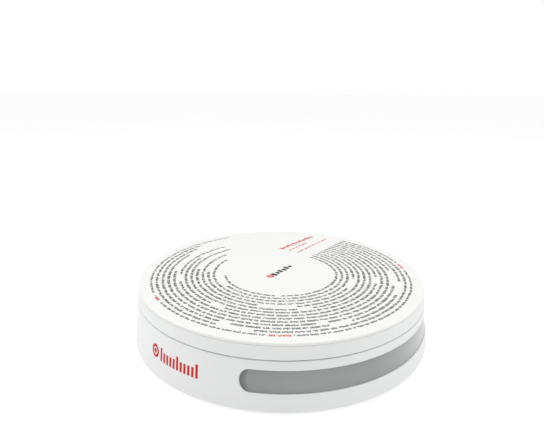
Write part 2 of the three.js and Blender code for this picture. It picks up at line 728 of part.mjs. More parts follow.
function controlBoard() {
  const outline = box(-26, 34, 84, 112, BOARD_BOTTOM, BOARD_TOP);
  return cut(outline, ...BOARD_POSTS.map(([x, y]) => moved(disc(THREAD_BORE, 5, 12), x, y)));
}

// Shielded radio module on its own small board.
function radioModule() {
  const board = box(-17, 2, 86, 99, 0, 0.9);
  const shield = box(-15.5, -3, 87, 98, 0.5, 3);
  return join(board, shield);
}

function motorDriver() {
  const chip = box(7, 18, 87, 98, 0, 1.6);
  const fins = [7.5, 9.9, 12.3, 14.7].map((x) => box(x, x + 1.4, 87.5, 97.5, 1, 6));
  return join(chip, ...fins);
}

function capacitor() {
  return lathe([[0, 0], [3.6, 0], [4, 0.5], [4, 8.5], [3.5, 9], [0, 9]], SMALL_ROUND);
}

function connector(width, depth, height) {
  const shell = box(-width / 2, width / 2, -depth / 2, depth / 2, 0, height);
  const opening = box(-width / 2 + 1, width / 2 - 1, -depth / 2 + 1, depth / 2 - 1, 1.5, height + 1);
  return cut(shell, opening);
}

// Round power socket with a centre pin, lying along y.
function powerSocket() {
  const axisHeight = REAR_AXIS_Z - BOARD_TOP - GAP;
  const block = box(-BUTTON_RADIUS, BUTTON_RADIUS, 107, 120, 0, axisHeight + 5);
  const nose = moved(alongY(disc(4.9, 119, 123.6)), 0, 0, axisHeight);
  const opening = moved(alongY(ring(1.1, 3.2, 113, 125)), 0, 0, axisHeight);
  return cut(join(block, nose), opening);
}

function switchHousing() {
  const block = box(-4, 4, 106.5, 112.2, BOARD_TOP + GAP, REAR_AXIS_Z + 4);
  return cut(block, moved(alongY(disc(2, 108.8, 113)), 0, 0, REAR_AXIS_Z));
}

function switchPlunger() {
  return alongY(disc(1.7, 110.2, 113.4));
}

// Button cap with a captive flange behind the wall and a stem that reaches the switch.
function powerButton() {
  return alongY(lathe([
    [0, 113.7],
    [2, 113.7],
    [2, 118.2],
    [6.1, 118.2],
    [6.1, 119.6],
    [BUTTON_RADIUS, 119.6],
    ...roundEdge(BUTTON_RADIUS - 0.6, BUTTON_FACE - 0.6, 0.6, 0, 90),
    [0, BUTTON_FACE - 0.2],
  ], SMALL_ROUND));
}

// ---------------------------------------------------------------- assembly

const turntable = new THREE.Group();

// Adds a named piece to a group, at a place and with a turn about z in degrees.
function add(group, name, geometry, material, { x = 0, y = 0, z = 0, turn = 0 } = {}) {
  geometry.computeVertexNormals();
  const mesh = new THREE.Mesh(geometry, material);
  mesh.name = name;
  mesh.position.set(x, y, z);
  mesh.rotation.z = radians(turn);
  group.add(mesh);
  return mesh;
}

// Adds a group that stands at a distance from the spindle, turned to face away from it.
function station(radius, angle, z = 0) {
  const group = new THREE.Group();
  const place = polar(radius, angle);
  group.position.set(place.x, place.y, z);
  group.rotation.z = radians(angle);
  turntable.add(group);
  return group;
}

function addBase() {
  add(turntable, 'base_shell', baseShell(), whitePlastic);
  add(turntable, 'bottom_cover', bottomCover(), whitePlastic);
  add(turntable, 'light_window', lightWindow(), greyDiffuser);
  add(turntable, 'light_strip', lightStrip(), boardGreen);
  FOOT_ANGLES.forEach((angle, i) => {
    add(station(FOOT_CIRCLE, angle), `foot_${i + 1}`, foot(), rubber);
  });
  BOSS_ANGLES.forEach((angle, i) => {
    add(station(BOSS_CIRCLE, angle, 4.0 - GAP), `cover_screw_${i + 1}`, coverScrew(), steel);
  });
  add(turntable, 'bearing_outer_ring', ring(...BEARING_OUTER, BEARING_BOTTOM, BEARING_TOP, 24), steel);
}

function addPlatter() {
  add(turntable, 'top_plate', topPlate(), platePlastic);
  add(turntable, 'platter', platter(), whitePlastic);
  const gearPlace = { z: PLATTER_GEAR_BOTTOM, turn: COMPOUND_ANGLE };
  add(turntable, 'platter_gear', platterGear(), gearPlastic, gearPlace);
  add(turntable, 'spindle', spindle(), steel);
  add(turntable, 'bearing_inner_ring', ring(...BEARING_INNER, BEARING_BOTTOM, BEARING_TOP, 24), steel);
  add(turntable, 'bearing_ball_cage', ballCage(), steel);
  const clipPlace = { z: BEARING_BOTTOM - GAP - 0.9 };
  add(turntable, 'spindle_clip', retainingClip(3.2, 6, 0.8), steel, clipPlace);
  GEAR_SCREW_ANGLES.forEach((angle, i) => {
    const screw = socketScrew(2.8, 1.6, 1.5, 9).rotateX(Math.PI);
    add(station(GEAR_SCREW_CIRCLE, angle, FLANGE_BOTTOM - GAP), `gear_screw_${i + 1}`, screw, steel);
  });
  const magnetPlace = { ...polar(HOME_CIRCLE, HOME_ANGLE), z: PLATTER_FLOOR - GAP - MAGNET_HEIGHT };
  add(turntable, 'home_magnet', disc(MAGNET_RADIUS, 0, MAGNET_HEIGHT), shieldMetal, magnetPlace);
}

function addDrive() {
  const motor = new THREE.Group();
  motor.position.set(MOTOR_AXIS.x, MOTOR_AXIS.y, 0);
  motor.rotation.z = radians(MOTOR_TURN);
  turntable.add(motor);
  add(motor, 'drive_motor', motorBody(), motorMetal);
  add(motor, 'motor_bracket', motorBracket(), steel);
  add(motor, 'motor_shaft', disc(SHAFT_RADIUS, MOTOR_BOTTOM + 7.5, WHEEL_TOP + 1.2), steel);
  const pinionTurn = gapTowards(MOTOR_DIRECTION + 180, MOTOR_TEETH) - MOTOR_TURN;
  add(motor, 'motor_pinion', motorPinion(), brass, { z: WHEEL_BOTTOM - 0.2, turn: pinionTurn });
  [-1, 1].forEach((side, i) => {
    const place = { x: side * BRACKET_REACH, z: BRACKET_TOP + GAP };
    add(motor, `bracket_screw_${i + 1}`, socketScrew(3, 1.8, 1.4, 8), steel, place);
  });
  [-1, 1].forEach((side, i) => {
    const place = { x: side * MOTOR_SCREW, y: MOTOR_SCREW, z: BRACKET_TOP + GAP };
    add(motor, `motor_screw_${i + 1}`, socketScrew(2.8, 1.6, 1.4, 5), steel, place);
  });

  const gearStand = new THREE.Group();
  gearStand.position.set(COMPOUND_AXIS.x, COMPOUND_AXIS.y, 0);
  turntable.add(gearStand);
  const gearPlace = { z: WHEEL_BOTTOM, turn: MOTOR_DIRECTION };
  add(gearStand, 'compound_gear', compoundGear(), gearPlastic, gearPlace);
  add(gearStand, 'gear_pin', gearPin(), steel);
  const pinClip = retainingClip(GEAR_PIN_RADIUS - 0.25, 3.2, 0.6);
  add(gearStand, 'gear_pin_clip', pinClip, steel, { z: PINION_TOP + GAP });
}

function addRollers() {
  FOOT_ANGLES.forEach((angle, i) => {
    const stand = station(ROLLER_CIRCLE, angle, ROLLER_AXIS_Z);
    add(stand, `support_roller_${i + 1}`, alongX(roller()), blackPlastic);
    add(stand, `roller_pin_${i + 1}`, alongX(disc(ROLLER_PIN_RADIUS, -5.6, 5.6, 16)), steel);
  });
}

function addElectronics() {
  const onBoard = BOARD_TOP + GAP;
  add(turntable, 'control_board', controlBoard(), boardGreen);
  add(turntable, 'radio_module', radioModule(), shieldMetal, { z: onBoard });
  add(turntable, 'motor_driver', motorDriver(), blackPlastic, { z: onBoard });
  add(turntable, 'capacitor', capacitor(), motorMetal, { x: 22, y: 99.5, z: onBoard });
  add(turntable, 'motor_connector', connector(7, 9, 5.5), platePlastic, { x: -21.5, y: 97, z: onBoard });
  add(turntable, 'light_connector', connector(5, 7, 5), platePlastic, { x: 30.5, y: 97.5, z: onBoard });
  add(turntable, 'power_socket', powerSocket(), blackPlastic, { x: SOCKET_X, z: onBoard });
  add(turntable, 'button_switch', switchHousing(), blackPlastic, { x: BUTTON_X });
  const buttonPlace = { x: BUTTON_X, z: REAR_AXIS_Z };
  add(turntable, 'switch_plunger', switchPlunger(), platePlastic, buttonPlace);
  add(turntable, 'power_button', powerButton(), whitePlastic, buttonPlace);
  BOARD_POSTS.forEach(([x, y], i) => {
    add(turntable, `board_screw_${i + 1}`, socketScrew(2.4, 1.3, 1.1, 4.5), steel, { x, y, z: onBoard });
  });
  add(turntable, 'home_sensor', box(-1.5, 1.5, -2, 2, 0, 1.4), blackPlastic,
    { ...polar(HOME_CIRCLE, HOME_ANGLE), z: SEAM_BOTTOM + GAP });
  const motorCable = [[-71.6, -23.2, 10], [-82, 8, 9], [-84, 40, 9], [-64, 74, 9], [-42, 92, 12.5],
    [-25.8, 97, 13]];
  add(turntable, 'motor_cable', cable(motorCable, 1.6, 18), cableJacket);
  const lightCable = [[33.8, 97.5, 12.5], [40, 90, 12], [62, 81, 9], [92, 57, 9], [110.5, 32.5, 16]];
  add(turntable, 'light_cable', cable(lightCable, 1.2, 16), cableJacket);
}

addBase();
addPlatter();
addDrive();
addRollers();
addElectronics();

export default turntable;
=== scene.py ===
import math
import random

import bmesh
import bpy
from mathutils import Matrix, Vector
from mathutils.geometry import delaunay_2d_cdt


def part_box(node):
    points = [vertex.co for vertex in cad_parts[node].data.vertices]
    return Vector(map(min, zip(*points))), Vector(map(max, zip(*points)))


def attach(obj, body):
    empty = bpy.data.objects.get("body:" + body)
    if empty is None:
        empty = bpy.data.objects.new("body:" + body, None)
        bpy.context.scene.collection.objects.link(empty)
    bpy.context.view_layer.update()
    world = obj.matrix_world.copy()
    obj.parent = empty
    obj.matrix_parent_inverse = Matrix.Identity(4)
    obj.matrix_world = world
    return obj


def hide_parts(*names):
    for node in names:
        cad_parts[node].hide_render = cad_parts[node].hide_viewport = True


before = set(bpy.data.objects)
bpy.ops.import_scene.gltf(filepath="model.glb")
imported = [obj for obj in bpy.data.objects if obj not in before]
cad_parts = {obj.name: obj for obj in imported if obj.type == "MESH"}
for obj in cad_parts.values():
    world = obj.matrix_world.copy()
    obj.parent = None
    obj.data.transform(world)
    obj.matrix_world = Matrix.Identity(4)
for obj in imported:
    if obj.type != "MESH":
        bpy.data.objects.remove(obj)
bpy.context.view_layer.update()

# Motorised scanning turntable: the looks of its pieces, a studio, and a camera.
# Shapes are written in millimetres and placed in metres by MM.

MM = 0.001
ROUND = 288  # segments of a full large circle
TAU = 2 * math.pi
SHARP_ANGLE = 38  # edges that turn by more than this many degrees stay sharp


def span(node):
    """Lowest and highest corner of a CAD node, in millimetres."""
    lo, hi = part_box(node)
    return lo / MM, hi / MM


def middle(node):
    """Centre of a CAD node's box, in millimetres."""
    low, high = span(node)
    return (low + high) / 2


def direction(node):
    """Direction of a CAD node from the platter's axis, seen from above."""
    centre = middle(node)
    return math.atan2(centre.y, centre.x)


shell_lo, shell_hi = span("base_shell")
platter_lo, platter_hi = span("platter")
plate_lo, plate_hi = span("top_plate")
pane_lo, pane_hi = span("light_window")
gear_hi = span("platter_gear")[1]
button_lo, button_hi = span("power_button")
socket_lo, socket_hi = span("power_socket")

BASE_RADIUS = shell_hi.x  # the side is widest at its lower edge
SIDE_RADIUS = platter_hi.x
LIP_HEIGHT = 2.8  # a lip on the deck stands this far above the side
SEAM_BOTTOM = shell_hi.z - LIP_HEIGHT
SEAM_TOP = platter_lo.z
BASE_BOTTOM = shell_lo.z
WALL_INSIDE = 122.2
PLATE_TOP = plate_hi.z
EDGE_ROUND = 0.8  # rounding of the moulded edges

WINDOW_MARGIN = 2.0  # the pane's flange reaches this far past the opening
WINDOW_CORNER = 7.3
WINDOW_RECESS = 0.4
PANE_GAP = 0.08  # between the pane and the opening
FLANGE_RADIUS = WALL_INSIDE - 0.4
WINDOW_START = -math.acos(pane_lo.x / FLANGE_RADIUS) + WINDOW_MARGIN / SIDE_RADIUS
WINDOW_END = math.asin(pane_hi.y / FLANGE_RADIUS) - WINDOW_MARGIN / SIDE_RADIUS
WINDOW_BOTTOM = pane_lo.z + WINDOW_MARGIN
WINDOW_TOP = pane_hi.z - WINDOW_MARGIN


# ---------------------------------------------------------------- mesh helpers


def fillet(profile, steps=4):
    """Rounds the corners of a closed or open polyline of (x, y, radius) points."""
    closed = profile[0][:2] == profile[-1][:2]
    points = profile[:-1] if closed else profile
    count = len(points)
    out = []
    for i, (x, y, radius) in enumerate(points):
        here = Vector((x, y))
        if radius <= 0 or (not closed and i in (0, count - 1)):
            out.append((x, y))
            continue
        back = (Vector(points[i - 1][:2]) - here).normalized()
        ahead = (Vector(points[(i + 1) % count][:2]) - here).normalized()
        half = back.angle(ahead) / 2
        centre = here + (back + ahead).normalized() * radius / math.sin(half)
        start = here + back * radius / math.tan(half) - centre
        end = here + ahead * radius / math.tan(half) - centre
        turn = math.atan2(start.x * end.y - start.y * end.x, start.dot(end))
        for k in range(steps + 1):
            spoke = start.copy()
            spoke.rotate(Matrix.Rotation(turn * k / steps, 2))
            out.append(tuple(centre + spoke))
    if closed:
        out.append(out[0])
    return out


def lathe(bm, profile, segments=ROUND, place=None):
    """Adds a body of revolution about z from (radius, z) points in millimetres."""
    place = place or (lambda x, y, z: (x, y, z))
    closed = profile[0] == profile[-1]
    points = profile[:-1] if closed else profile
    rings = []
    for radius, z in points:
        if radius < 1e-6:
            rings.append([bm.verts.new(Vector(place(0, 0, z)) * MM)] * segments)
            continue
        angles = [TAU * i / segments for i in range(segments)]
        rings.append([
            bm.verts.new(Vector(place(radius * math.cos(a), radius * math.sin(a), z)) * MM)
            for a in angles
        ])
    pairs = list(zip(rings, rings[1:]))
    if closed:
        pairs.append((rings[-1], rings[0]))
    for low, high in pairs:
        for i in range(segments):
            j = (i + 1) % segments
            corners = [low[i], low[j], high[j], high[i]]
            kept = [v for k, v in enumerate(corners) if v is not corners[k - 1]]
            if len(kept) > 2:
                bm.faces.new(kept)


def block(bm, x0, x1, y0, y1, z0, z1, place=None, edge=0.2):
    """Adds a box with bevelled edges, in millimetres, placed by a function of x, y, z."""
    place = place or (lambda x, y, z: (x, y, z))
    made = bmesh.ops.create_cube(bm, size=1)["verts"]
    for v in made:
        v.co = Vector((
            x0 + (v.co.x + 0.5) * (x1 - x0),
            y0 + (v.co.y + 0.5) * (y1 - y0),
            z0 + (v.co.z + 0.5) * (z1 - z0),
        ))
    edges = list({e for v in made for e in v.link_edges})
    bevelled = bmesh.ops.bevel(
        bm, geom=made + edges, offset=edge, segments=2, profile=0.5, affect="EDGES"
    )
    for v in set(bevelled["verts"]) | {v for v in made if v.is_valid}:
        v.co = Vector(place(*v.co)) * MM


def circle(x, y, radius, count=64):
    return [
        (x + radius * math.cos(TAU * i / count), y + radius * math.sin(TAU * i / count))
        for i in range(count)
    ]


def rounded_rectangle(x0, x1, y0, y1, radius, step=2.0, corner_steps=12):
    """A closed outline, counter-clockwise, with points along its long sides."""
    out = []
    corners = [(x1 - radius, y0 + radius, -90), (x1 - radius, y1 - radius, 0),
               (x0 + radius, y1 - radius, 90), (x0 + radius, y0 + radius, 180)]
    for i, (cx, cy, start) in enumerate(corners):
        for k in range(corner_steps + 1):
            a = math.radians(start + 90 * k / corner_steps)
            out.append((cx + radius * math.cos(a), cy + radius * math.sin(a)))
        nx, ny, turn = corners[(i + 1) % 4]
        a = math.radians(turn)
        target = Vector((nx + radius * math.cos(a), ny + radius * math.sin(a)))
        here = Vector(out[-1])
        pieces = max(1, int((target - here).length / step))
        out += [tuple(here.lerp(target, k / pieces)) for k in range(1, pieces)]
    return out


def grown(outline, distance):
    """The outline moved outwards by a distance, along the normals of its corners."""
    out = []
    for i, point in enumerate(outline):
        back = Vector(point) - Vector(outline[i - 1])
        ahead = Vector(outline[(i + 1) % len(outline)]) - Vector(point)
        along = (back.normalized() + ahead.normalized()).normalized()
        out.append((point[0] + along.y * distance, point[1] - along.x * distance))
    return out


def in_any_hole(point, holes):
    x, y = point
    for hole in holes:
        if not inside(point, hole, 0):
            continue
        crossings = 0
        for i, (x0, y0) in enumerate(hole):
            x1, y1 = hole[i - 1]
            if (y0 > y) != (y1 > y) and x < x0 + (y - y0) * (x1 - x0) / (y1 - y0):
                crossings += 1
        if crossings % 2:
            return True
    return False


def inside(point, outline, margin):
    """True when a point is in the box of an outline, grown by a margin."""
    xs = [p[0] for p in outline]
    ys = [p[1] for p in outline]
    x, y = point
    return min(xs) - margin < x < max(xs) + margin and min(ys) - margin < y < max(ys) + margin


def sheet(bm, outer, holes, fill, place, flip=False):
    """Adds a triangulated sheet. Returns the vertices along each outline, outer first."""
    points, edges, loops = [], [], []
    for outline in [outer] + holes:
        start = len(points)
        points += outline
        loops.append(range(start, len(points)))
        edges += [(start + i, start + (i + 1) % len(outline)) for i in range(len(outline))]
    points += fill
    made, _, triangles, origin, _, _ = delaunay_2d_cdt(
        [Vector(p) for p in points], edges, [], 1, 1e-5
    )
    def centre(triangle):
        return sum((made[i] for i in triangle), Vector((0, 0))) / 3

    triangles = [t for t in triangles if not in_any_hole(centre(t), holes)]
    verts = [bm.verts.new(Vector(place(p.x, p.y)) * MM) for p in made]
    first = {}
    for new, olds in enumerate(origin):
        for old in olds:
            first[old] = verts[new]
    for triangle in triangles:
        corners = [verts[i] for i in triangle]
        bm.faces.new(reversed(corners) if flip else corners)
    return [[first[i] for i in loop] for loop in loops]


def bridge(bm, low, high):
    for i in range(len(low)):
        j = (i + 1) % len(low)
        bm.faces.new((low[i], low[j], high[j], high[i]))


def slab(bm, outer, holes, fill, place, bottom, top, edge, steps=3):
    """A slab between two heights with rounded edges. place(x, y, height) puts a point in the frame."""
    def levels():
        for k in range(steps + 1):
            a = math.pi / 2 * k / steps
            yield edge * (1 - math.sin(a)), top - edge * (1 - math.cos(a))
        for k in range(steps + 1):
            a = math.pi / 2 * k / steps
            yield edge * (1 - math.cos(a)), bottom + edge * (1 - math.sin(a))

    inset = [grown(outer, -edge)] + [grown(hole, edge) for hole in holes]
    upper = sheet(bm, inset[0], inset[1:], fill, lambda x, y: place(x, y, top))
    lower = sheet(bm, inset[0], inset[1:], fill, lambda x, y: place(x, y, bottom), flip=True)
    stack = list(levels())[1:-1]
    for index, outline in enumerate([outer] + holes):
        sign = -1 if index == 0 else 1
        previous = upper[index]
        for distance, height in stack:
            ring = [
                bm.verts.new(Vector(place(x, y, height)) * MM)
                for x, y in grown(outline, sign * distance)
            ]
            bridge(bm, previous, ring)
            previous = ring
        bridge(bm, previous, lower[index])


def piece(name, bm, material, body, replaced=()):
    """Makes an object of a mesh, shades it, and lets it ride on its body."""
    bmesh.ops.remove_doubles(bm, verts=bm.verts, dist=2e-6)
    bmesh.ops.recalc_face_normals(bm, faces=bm.faces)
    mesh = bpy.data.meshes.new(name)
    bm.to_mesh(mesh)
    bm.free()
    mesh.shade_smooth()
    mesh.set_sharp_from_angle(angle=math.radians(SHARP_ANGLE))
    mesh.materials.append(material)
    obj = bpy.data.objects.new(name, mesh)
    bpy.context.scene.collection.objects.link(obj)
    weighted = obj.modifiers.new("weighted_normals", "WEIGHTED_NORMAL")
    weighted.keep_sharp = True
    weighted.weight = 90
    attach(obj, body)
    if replaced:
        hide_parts(*replaced)


# ---------------------------------------------------------------- materials


def arithmetic(tree, operation, *values):
    """One arithmetic node on sockets or numbers."""
    made = tree.nodes.new("ShaderNodeMath")
    made.operation = operation
    for socket, value in zip(made.inputs, values):
        if isinstance(value, (int, float)):
            socket.default_value = value
        else:
            tree.links.new(value, socket)
    return made.outputs["Value"]


class Finish:
    """Builds one node-based material step by step."""

    def __init__(self, name, colour, roughness, metallic=0.0, specular=0.5):
        self.material = bpy.data.materials.new(name)
        self.material.use_nodes = True
        self.tree = self.material.node_tree
        self.shader = self.tree.nodes["Principled BSDF"]
        self.colour = (*colour, 1)
        self.shader.inputs["Base Color"].default_value = self.colour
        self.shader.inputs["Roughness"].default_value = roughness
        self.shader.inputs["Metallic"].default_value = metallic
        self.shader.inputs["Specular IOR Level"].default_value = specular
        self.place = self.node("ShaderNodeTexCoord").outputs["Object"]
        self.material.diffuse_color = self.colour

    def node(self, kind, **settings):
        made = self.tree.nodes.new(kind)
        for key, value in settings.items():
            if key in made.inputs:
                made.inputs[key].default_value = value
            else:
                setattr(made, key, value)
        return made

    def link(self, output, target):
        self.tree.links.new(output, target)

    def noise(self, scale, detail=2.0, stretch=None):
        """Noise with a feature size of about 1 / scale metres."""
        source = self.place
        if stretch:
            mapping = self.node("ShaderNodeMapping", Scale=stretch)
            self.link(source, mapping.inputs["Vector"])
            source = mapping.outputs["Vector"]
        made = self.node("ShaderNodeTexNoise", Scale=scale, Detail=detail)
        self.link(source, made.inputs["Vector"])
        return made.outputs["Fac"]

    def ramp(self, value, low, high, from_low=0.3, from_high=0.7):
        made = self.node("ShaderNodeMapRange")
        for key, number in (("From Min", from_low), ("From Max", from_high),
                            ("To Min", low), ("To Max", high)):
            made.inputs[key].default_value = number
        self.link(value, made.inputs["Value"])
        return made.outputs["Result"]

    def math(self, operation, *values):
        return arithmetic(self.tree, operation, *values)

    def mix(self, factor, first, second):
        made = self.node("ShaderNodeMix", data_type="RGBA")
        self.link(factor, made.inputs["Factor"])
        for socket, value in ((made.inputs[6], first), (made.inputs[7], second)):
            if isinstance(value, tuple):
                socket.default_value = (*value[:3], 1)
            else:
                self.link(value, socket)
        return made.outputs[2]

    def tint(self, scale, other, amount=1.0, detail=2.0, stretch=None):
        """Lets the colour drift towards another one in soft patches."""
        factor = self.ramp(self.noise(scale, detail, stretch), 0.0, amount)
        target = self.shader.inputs["Base Color"]
        first = target.links[0].from_socket if target.links else self.colour
        self.link(self.mix(factor, first, other), target)
        return self

    def sheen_change(self, scale, low, high, stretch=None):
        """Varies the roughness."""
        value = self.ramp(self.noise(scale, 3.0, stretch), low, high)
        self.link(value, self.shader.inputs["Roughness"])
        return self

    def grain(self, scale, height, detail=2.0, stretch=None):
        """A fine relief, height in millimetres."""
        bump = self.node("ShaderNodeBump", Strength=1.0, Distance=height * MM)
        self.link(self.noise(scale, detail, stretch), bump.inputs["Height"])
        before = self.shader.inputs["Normal"]
        if before.links:
            self.link(before.links[0].from_socket, bump.inputs["Normal"])
        self.link(bump.outputs["Normal"], before)
        return self


def moulded(name, colour, other, roughness, grain=0.004):
    """Satin moulded plastic: soft patches of tone and a fine spark-eroded grain."""
    finish = Finish(name, colour, roughness)
    finish.tint(26, other, 0.8)
    finish.sheen_change(60, roughness - 0.05, roughness + 0.07)
    return finish.grain(2600, grain)


white_plastic = moulded("white_plastic", (0.795, 0.805, 0.80), (0.775, 0.786, 0.782), 0.42)
plate_plastic = moulded("plate_plastic", (0.875, 0.872, 0.845), (0.86, 0.858, 0.833), 0.38, 0.002)
printed_plastic = moulded("printed_plastic", (0.875, 0.875, 0.853), (0.86, 0.861, 0.84), 0.38, 0.002)
gear_plastic = moulded("gear_plastic", (0.76, 0.71, 0.60), (0.70, 0.66, 0.56), 0.45, 0.006)
black_plastic = moulded("black_plastic", (0.020, 0.021, 0.022), (0.030, 0.031, 0.033), 0.45)
cable_jacket = moulded("cable_jacket", (0.025, 0.026, 0.028), (0.04, 0.04, 0.042), 0.55)
rubber = moulded("rubber", (0.022, 0.022, 0.023), (0.045, 0.045, 0.044), 0.8, 0.02)


FACE_DEPTH = (0.14, 0.04)  # below the top, where the painted darker cream of the rim starts to turn and has turned white


def paint_rim_shade(finish):
    """The plate's rim is painted a darker cream below the white face: a creamier tone, and painted shade
    on the side-facing rim.
    """
    target = finish.shader.inputs["Base Color"]
    axes = finish.node("ShaderNodeSeparateXYZ")
    finish.link(finish.place, axes.inputs["Vector"])
    layer = [(PLATE_TOP - depth) * MM for depth in FACE_DEPTH]
    face = finish.ramp(axes.outputs["Z"], 0.0, 1.0, *layer)
    # painted shade: the rim below the white face takes the darker cream colour
    finish.link(finish.mix(face, (0.83, 0.828, 0.79), target.links[0].from_socket), target)


paint_rim_shade(printed_plastic)


END_SHADE = 8.0  # length of the shaded stretch at each end of the pane


def smoked():
    """Smoky frosted diffuser, with painted light: a painted reflection lightens its colour where it is
    seen at a slant, and painted shade darkens it towards the ends of its opening, its upper and lower
    edges and its start end.
    """
    finish = Finish("grey_diffuser", (0.27, 0.285, 0.28), 0.35, specular=0.6)
    finish.tint(22, (0.295, 0.305, 0.302), 0.9, 1.0)
    target = finish.shader.inputs["Base Color"]
    # painted reflection: the colour turns towards a pale grey where the pane is seen at a slant
    slant = finish.node("ShaderNodeLayerWeight", Blend=0.35).outputs["Facing"]
    painted_reflection = finish.ramp(slant, 0.0, 1.0, 0.25, 1.0)
    with_painted_reflection = finish.mix(painted_reflection, target.links[0].from_socket, (0.57, 0.58, 0.575))

    axes = finish.node("ShaderNodeSeparateXYZ")
    finish.link(finish.place, axes.inputs["Vector"])
    x, y, z = (axes.outputs[key] for key in "XYZ")
    angle = finish.math("ARCTAN2", y, x)
    # distances in millimetres: along the pane from each end, and up or down from its middle line
    from_start = finish.math("MULTIPLY", finish.math("SUBTRACT", angle, WINDOW_START), SIDE_RADIUS)
    from_end = finish.math("MULTIPLY", finish.math("SUBTRACT", WINDOW_END, angle), SIDE_RADIUS)
    middle_line = (WINDOW_BOTTOM + WINDOW_TOP) / 2
    half = (WINDOW_TOP - WINDOW_BOTTOM) / 2
    across = finish.math("MULTIPLY_ADD", z, 1 / MM, -middle_line)
    across = finish.math("POWER", finish.math("DIVIDE", finish.math("ABSOLUTE", across), half), 2.0)

    # the wall of the opening shades both ends, in a crescent that follows the rounded corners
    near = finish.math("SUBTRACT", END_SHADE, finish.math("MINIMUM", from_start, from_end))
    crescent = finish.math("MULTIPLY", near, finish.math("ADD", across, 1.0))
    level = finish.ramp(crescent, 1.0, 0.5, 0.28 * END_SHADE, 0.8 * END_SHADE)
    # painted shade: the pane's colour darkens towards its upper and lower edges
    level = finish.math("MULTIPLY", level, finish.math("MULTIPLY_ADD", across, -0.1, 1.0))
    # painted shade: the colour darkens towards the start end of the pane, over its first 36 mm
    level = finish.math("MULTIPLY", level, finish.ramp(from_start, 0.88, 1.0, 4.0, 36.0))
    finish.link(finish.mix(level, (0.0, 0.0, 0.0), with_painted_reflection), target)

    finish.sheen_change(90, 0.31, 0.38)
    finish.shader.inputs["Coat Weight"].default_value = 0.35
    finish.shader.inputs["Coat Roughness"].default_value = 0.2
    return finish


def metal(name, colour, other, roughness, stretch=(1, 1, 14)):
    """Turned or brushed metal with fine directional marks."""
    finish = Finish(name, colour, roughness, metallic=1.0)
    finish.tint(180, other, 0.8)
    finish.sheen_change(420, roughness - 0.07, roughness + 0.1, stretch)
    return finish.grain(900, 0.004, 3.0, stretch)


steel = metal("steel", (0.56, 0.57, 0.58), (0.48, 0.49, 0.50), 0.3)
shield_metal = metal("shield_metal", (0.66, 0.67, 0.67), (0.58, 0.585, 0.59), 0.34)
brass = metal("brass", (0.62, 0.44, 0.17), (0.50, 0.36, 0.14), 0.32)
motor_metal = metal("motor_metal", (0.075, 0.078, 0.085), (0.11, 0.112, 0.118), 0.42)


def circuit_board():
    """Green solder mask over copper tracks."""
    finish = Finish("circuit_board", (0.012, 0.085, 0.045), 0.35)
    cells = finish.node("ShaderNodeTexVoronoi", Scale=420.0, distance="MANHATTAN")
    cells.feature = "F1"
    finish.link(finish.place, cells.inputs["Vector"])
    tracks = finish.ramp(cells.outputs["Distance"], 0.0, 1.0, 0.32, 0.36)
    finish.link(finish.mix(tracks, (0.03, 0.16, 0.08), (0.012, 0.085, 0.045)),
                finish.shader.inputs["Base Color"])
    bump = finish.node("ShaderNodeBump", Strength=1.0, Distance=0.02 * MM)
    finish.link(tracks, bump.inputs["Height"])
    finish.link(bump.outputs["Normal"], finish.shader.inputs["Normal"])
    return finish.sheen_change(300, 0.3, 0.42)


def ink(name, colour, other):
    finish = Finish(name, colour, 0.5, specular=0.15)
    finish.tint(700, other, 0.9)
    finish.sheen_change(300, 0.42, 0.58)
    return finish.grain(4000, 0.002)


white_plastic, plate_plastic, printed_plastic, gear_plastic, black_plastic, cable_jacket, rubber = (
    f.material for f in (white_plastic, plate_plastic, printed_plastic, gear_plastic, black_plastic,
                         cable_jacket, rubber)
)
steel, shield_metal, brass, motor_metal = (f.material for f in (steel, shield_metal, brass, motor_metal))
diffuser = smoked().material
board_green = circuit_board().material
dark_ink = ink("dark_ink", (0.022, 0.023, 0.025), (0.04, 0.04, 0.042)).material
red_ink = ink("red_ink", (0.62, 0.018, 0.012), (0.55, 0.014, 0.010)).material

FINISHES = {
    "white_plastic": white_plastic,
    "plate_plastic": plate_plastic,
    "grey_diffuser": diffuser,
    "circuit_board": board_green,
    "rubber": rubber,
    "steel": steel,
    "motor_metal": motor_metal,
    "gear_plastic": gear_plastic,
    "brass": brass,
    "black_plastic": black_plastic,
    "shield_metal": shield_metal,
    "cable_jacket": cable_jacket,
}


# ---------------------------------------------------------------- base


def around(radius_at):
    """Places unrolled points: x runs along the side, y is the height, and depth goes inwards."""
    def place(x, y, depth=0.0):
        radius = radius_at(y) - depth
        angle = x / SIDE_RADIUS
        return radius * math.cos(angle), radius * math.sin(angle), y
    return place


def side_radius(z):
    share = (z - BASE_BOTTOM) / (SEAM_BOTTOM - BASE_BOTTOM)
    return BASE_RADIUS + (SIDE_RADIUS - BASE_RADIUS) * share


def window_outline(margin=0.0):
    return rounded_rectangle(
        WINDOW_START * SIDE_RADIUS - margin, WINDOW_END * SIDE_RADIUS + margin,
        WINDOW_BOTTOM - margin, WINDOW_TOP + margin, WINDOW_CORNER + margin,
    )


def unrolled(angle):
    return angle * SIDE_RADIUS


REAR_HOLE = 5.3
REAR_AXIS = middle("power_button").z


def rear_hole(node):
    """Outline of a hole bored along y, where it comes out of the unrolled side."""
    x = middle(node).x
    return circle(unrolled(math.acos(x / SIDE_RADIUS)), REAR_AXIS, REAR_HOLE, 48)


rear_holes = [rear_hole("power_socket"), rear_hole("power_button")]
OPENING_ROUND = 0.25  # rounding of the edge of the window and of the rear holes


